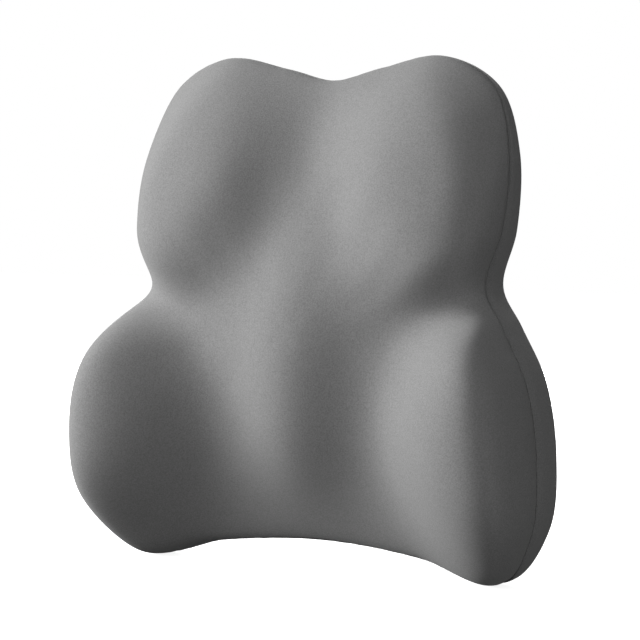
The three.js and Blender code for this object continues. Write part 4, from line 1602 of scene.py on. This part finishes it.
@dataclass
class Strap:
    """The elastic strap across the back, its patches, stitching, buckle and adjuster.

    Each run of webbing follows a route in X and Y: from its sewn end up to the run, along it, and round a
    bar of the hardware.
    """

    finishes: Finishes  # the materials
    z: float = STRAP_HEIGHT  # height of the strap's middle
    webbing: Tape = Tape(width=25.0, thick=1.4)  # the strap
    patch: Tape = Tape(width=38.0, thick=1.2, ribs=24)  # a sewn patch
    patch_length: float = 34.0  # of a patch, along the strap
    lift: float = 0.3  # gap between neighbouring layers
    run: float = 11.7  # how far the strap's middle stands off the panel between its ends
    flat: float = 2.5  # how far it does at a sewn end
    sewn_end: float = 118.0  # distance of a sewn end from the middle line
    sewn_start: float = 93.0  # distance where it is sewn up to
    rise: float = 22.0  # length of the step up to the run
    bar: float = 20.0  # place of the socket's bar along the strap
    plug_bar: float = -21.5  # place of the plug's bar
    bar_radius: float = 1.2  # radius of both
    bar_depth: float = 0.85  # how far both lie under the run
    adjuster: float = 52.0  # place of the adjuster's bar
    adjuster_bar: float = 0.8  # half thickness of that bar
    stitching: Stitching = Stitching(pitch=2.6, length=2.1, radius=0.28)  # the stitches of the patches
    stitch_inset: float = 3.0  # distance of the box of stitches from the edges of the sewn strap
    rim_inset: float = 2.0  # distance of the rim of stitches from the patch's edge
    hardware_rounding: float = 0.35  # width of the rounding of the moulded parts' edges
    # CAD node, new piece and body of each moulded part.
    hardware: tuple = (
        ("buckle_socket", "buckle_socket_moulding", Body.CUSHION),
        ("buckle_plug", "buckle_plug_moulding", Body.PLUG),
        ("strap_adjuster", "strap_adjuster_moulding", Body.ADJUSTER))

    def sewn_part(self, side: Side) -> Route:
        """Route from a sewn end up a smooth step, 3 u squared - 2 u cubed, to the run."""
        rising = [(side.value * (self.sewn_start - self.rise * u),
                   self.flat + (self.run - self.flat) * u * u * (3 - 2 * u)) for u in np.linspace(0, 1, 7)]
        sewn = [(side.value * x, self.flat) for x in (self.sewn_end, self.sewn_start + 2)]
        return [*sewn, *rising]

    @staticmethod
    def round_bar(x: float, y: float, radius: float, toward: int) -> Route:
        """Route round a bar, from its top to its underside.

        Args:
            x: the bar's middle.
            y: the bar's middle.
            radius: of the route.
            toward: 1 where it passes the bar's right side, -1 its left.

        Returns:
            Five points on the half circle.
        """
        return [(x + toward * radius * math.sin(turn), y + radius * math.cos(turn))
                for turn in np.radians([0, 45, 90, 135, 180])]

    def build_webbing(self) -> None:
        """Make the three runs of webbing: two from their patches to the buckle, and the return run."""
        half = self.webbing.thick / 2
        bar_y = self.run - self.bar_depth
        under = self.run - self.webbing.thick - self.lift
        below = under - 0.2
        wrap = self.bar_radius + self.lift + half
        right = [*self.sewn_part(Side.RIGHT), (45, self.run), (self.bar + 8, self.run),
                 *self.round_bar(self.bar, bar_y, wrap, -1), (self.bar + 4, bar_y - wrap + 0.3)]
        self.lay("right", right, 190, Body.CUSHION)

        loop = self.adjuster_bar + 0.35 + half
        loop_y = under - half - 0.5 - self.adjuster_bar - self.lift
        back = [(self.bar + 4.4, bar_y - wrap + 0.35), (self.bar + 11, below), (self.adjuster - 6, below),
                *self.round_bar(self.adjuster, loop_y, loop, 1),
                (self.adjuster - 5, loop_y - loop + 0.5), (self.adjuster - 14, under - 2 * half - 0.5)]
        piece = self.lay("return", back, 120, None)
        self.blend(piece)

        left = [*self.sewn_part(Side.LEFT), (-45, self.run), (self.plug_bar - 8, self.run),
                *self.round_bar(self.plug_bar, bar_y, wrap, 1),
                (self.plug_bar - 8, below), (self.plug_bar - 18, below)]
        piece = self.lay("left", left, 200, None)
        self.blend(piece)

    def lay(self, name: str, route: Route, points: int, body: Body | None) -> Piece:
        """Make one run of webbing.

        Args:
            name: of the run.
            route: points that it passes through.
            points: how many it gets along its length.
            body: the body that it rides on, or None if it rides on none.

        Returns:
            The run.
        """
        path = smooth_path(np.array(route), points)
        piece = self.webbing.sweep(f"strap_webbing_{name}", path, self.z)
        return finish_piece(piece, self.finishes.webbing, body, Slot.WEBBING, [f"strap_{name}"])

    def blend(self, piece: Piece) -> None:
        """Bake the placement of a run of webbing, which lies between the cushion and a sliding part, into its
        mesh.

        Args:
            piece: the run.
        """
        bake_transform(piece)

    def build_patch(self, side: Side) -> None:
        """Make a sewn patch with the box and cross of stitching that holds the strap's end.

        Args:
            side: which side of the cushion.
        """
        name = side.name.lower()
        middle = side.value * (self.sewn_start + self.sewn_end) / 2
        reach = self.patch_length / 2
        depth = self.lift + self.patch.thick / 2
        path = np.stack([np.linspace(middle - reach, middle + reach, 30), np.full(30, depth)], -1)
        piece = self.patch.sweep(f"strap_patch_{name}_woven", path, self.z)
        finish_piece(piece, self.finishes.patch, Body.CUSHION, Slot.PATCH, [f"strap_patch_{name}"])

        top = self.flat + self.webbing.thick / 2
        half_length = (self.sewn_end - self.sewn_start) / 2 - self.stitch_inset
        box = self.rectangle(middle, half_length, self.webbing.width / 2 - self.stitch_inset, top)
        rim = self.rectangle(middle, reach - self.rim_inset, self.patch.width / 2 - self.rim_inset,
                             self.lift + self.patch.thick)
        box_and_diagonal = np.vstack([box, box[2:3]])
        other_diagonal = box[[3, 1]]
        thread = self.stitching.sew(f"strap_stitching_{name}", (box_and_diagonal, other_diagonal, rim))
        finish_piece(thread, self.finishes.thread, Body.CUSHION, Slot.PATCH)

    def rectangle(self, x: float, half_length: float, half_height: float, y: float) -> Array:
        """Corners of an upright rectangle round the strap's middle, back to its first, shape (5, 3)."""
        turns = ((-1, -1), (1, -1), (1, 1), (-1, 1), (-1, -1))
        return np.array([(x + across * half_length, y, self.z + up * half_height) for across, up in turns])

    def build(self) -> None:
        """Make the whole strap: webbing, patches, and the buckle and adjuster with rounded edges."""
        self.build_webbing()
        for side in Side:
            self.build_patch(side)
        rounding = Rounding(self.hardware_rounding)
        for node, name, body in self.hardware:
            finish_piece(rounding.copy_of(node, name), self.finishes.acetal, body, Slot.ACETAL, [node])


# ------------------------------------------------------------------ studio

WHITE = hex_to_linear("ffffff")


def direction(azimuth: float, elevation: float) -> Vector:
    """Unit vector towards a place round the cushion.

    Args:
        azimuth: degrees round from the sitter's side, towards +X.
        elevation: degrees up.

    Returns:
        The vector.
    """
    a, e = math.radians(azimuth), math.radians(elevation)
    return Vector((math.sin(a) * math.cos(e), -math.cos(a) * math.cos(e), math.sin(e)))


@dataclass(frozen=True)
class SoftBox:
    """A square area light aimed at the cushion."""

    name: str  # of the light
    azimuth: float  # degrees round from the sitter's side, towards +X
    elevation: float  # degrees up
    power: float  # in watts
    size: float = 1.4  # its side, in metres
    distance: float = 2.5  # from the cushion's middle, in metres

    def build(self, target: Vector) -> None:
        """Make the light and aim it.

        Args:
            target: the point it faces.
        """
        data = bpy.data.lights.new(self.name, "AREA")
        data.shape = "SQUARE"
        data.size = self.size
        data.energy = self.power
        towards = direction(self.azimuth, self.elevation)
        lamp = bpy.data.objects.new(self.name, data)
        lamp.location = target + towards * self.distance
        lamp.rotation_euler = towards.to_track_quat("Z", "Y").to_euler()
        bpy.context.scene.collection.objects.link(lamp)


@dataclass
class Studio:
    """White floor, soft light and the camera."""

    # The point that lights and camera aim at, in millimetres in the designer's frame.
    middle: tuple[float, float, float] = (0.0, -34.0, 194.0)
    azimuth: float = 28.46  # of the camera, in degrees
    elevation: float = 2.79  # of the camera, in degrees
    roll: float = 0.96  # of the camera, in degrees
    distance: float = 2.05  # of the camera, in metres
    focal: float = 141.3  # length of its lens, in millimetres
    sensor: float = 36.0  # width of its sensor, in millimetres
    clip: tuple[float, float] = (0.05, 50.0)  # nearest and farthest distance that it sees, in metres
    # How far right of the middle and above it the camera aims, in metres.
    aim: tuple[float, float] = (-0.0042, 0.0085)
    floor_reach: float = 6.0  # of the floor from the origin, in metres
    floor_drop: float = 0.0005  # how far the floor lies under the cushion, in metres
    ambient: float = 0.02  # strength of the room's own light
    # Large key at the left front, weak fills and a light from behind.
    lights: tuple[SoftBox, ...] = (
        SoftBox("key", azimuth=-60, elevation=20, power=104),
        SoftBox("front fill", azimuth=0, elevation=20, power=25),
        SoftBox("right fill", azimuth=90, elevation=-10, power=13),
        SoftBox("rear light", azimuth=200, elevation=15, power=60))

    def target(self) -> Vector:
        """The cushion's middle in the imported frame, in metres."""
        return Vector((ORIGIN + self.middle) * MM)

    def build_camera(self) -> None:
        """Stand the camera at the right front, a little above the cushion's middle."""
        roll = math.radians(self.roll)
        back = direction(self.azimuth, self.elevation)
        level = direction(self.azimuth + 90, 0)
        above = back.cross(level)
        right = math.cos(roll) * level + math.sin(roll) * above
        up = math.cos(roll) * above - math.sin(roll) * level
        data = bpy.data.cameras.new("camera")
        data.sensor_width = self.sensor
        data.lens = self.focal
        data.clip_start, data.clip_end = self.clip
        camera = bpy.data.objects.new("camera", data)
        aim = self.target() + self.aim[0] * right + self.aim[1] * up
        axes = Matrix((right, up, back)).transposed()
        camera.matrix_world = Matrix.Translation(aim + back * self.distance) @ axes.to_4x4()
        bpy.context.scene.collection.objects.link(camera)
        bpy.context.scene.camera = camera

    def build_floor(self) -> None:
        """Lay a wide sheet of white paper under the cushion, which lights nothing but itself."""
        far = self.floor_reach
        corners = [(x, y, -self.floor_drop) for x, y in ((-far, -far), (far, -far), (far, far), (-far, far))]
        mesh = bpy.data.meshes.new("floor")
        mesh.from_pydata(corners, [], [(0, 1, 2, 3)])
        mesh.materials.append(StudioPaper("white background paper", "f4f4f4", 0.9).build())
        floor = bpy.data.objects.new("floor", mesh)
        bpy.context.scene.collection.objects.link(floor)
        floor.visible_diffuse = floor.visible_glossy = floor.visible_shadow = False

    def build_light(self) -> None:
        """Light the room, which looks white to the camera and lights the cushion only a little."""
        for lamp in self.lights:
            lamp.build(self.target())
        world = bpy.data.worlds.new("studio")
        bpy.context.scene.world = world
        world.use_nodes = True
        tree = world.node_tree
        tree.nodes.clear()
        path = add_node(tree, "ShaderNodeLightPath")
        lit = add_node(tree, "ShaderNodeBackground", {"Color": WHITE, "Strength": self.ambient})
        seen = add_node(tree, "ShaderNodeBackground", {"Color": WHITE, "Strength": 1.0})
        both = add_node(tree, "ShaderNodeMixShader",
                        links={0: path.outputs["Is Camera Ray"], 1: lit.outputs[0], 2: seen.outputs[0]})
        add_node(tree, "ShaderNodeOutputWorld", links={"Surface": both.outputs[0]})
        bpy.context.scene.view_settings.view_transform = "Standard"

    def build(self) -> None:
        """Make the whole studio."""
        self.build_camera()
        self.build_floor()
        self.build_light()


def main() -> None:
    """Build the studio and the cushion, in order."""
    logging.basicConfig(level=logging.INFO, format="%(message)s")
    Studio().build()
    finishes = Finishes()
    cushion = Cushion(finishes)
    cushion.build_cover()
    cushion.build_inside()
    Zip(finishes).build()
    Strap(finishes).build()


if __name__ == "__main__":
    main()
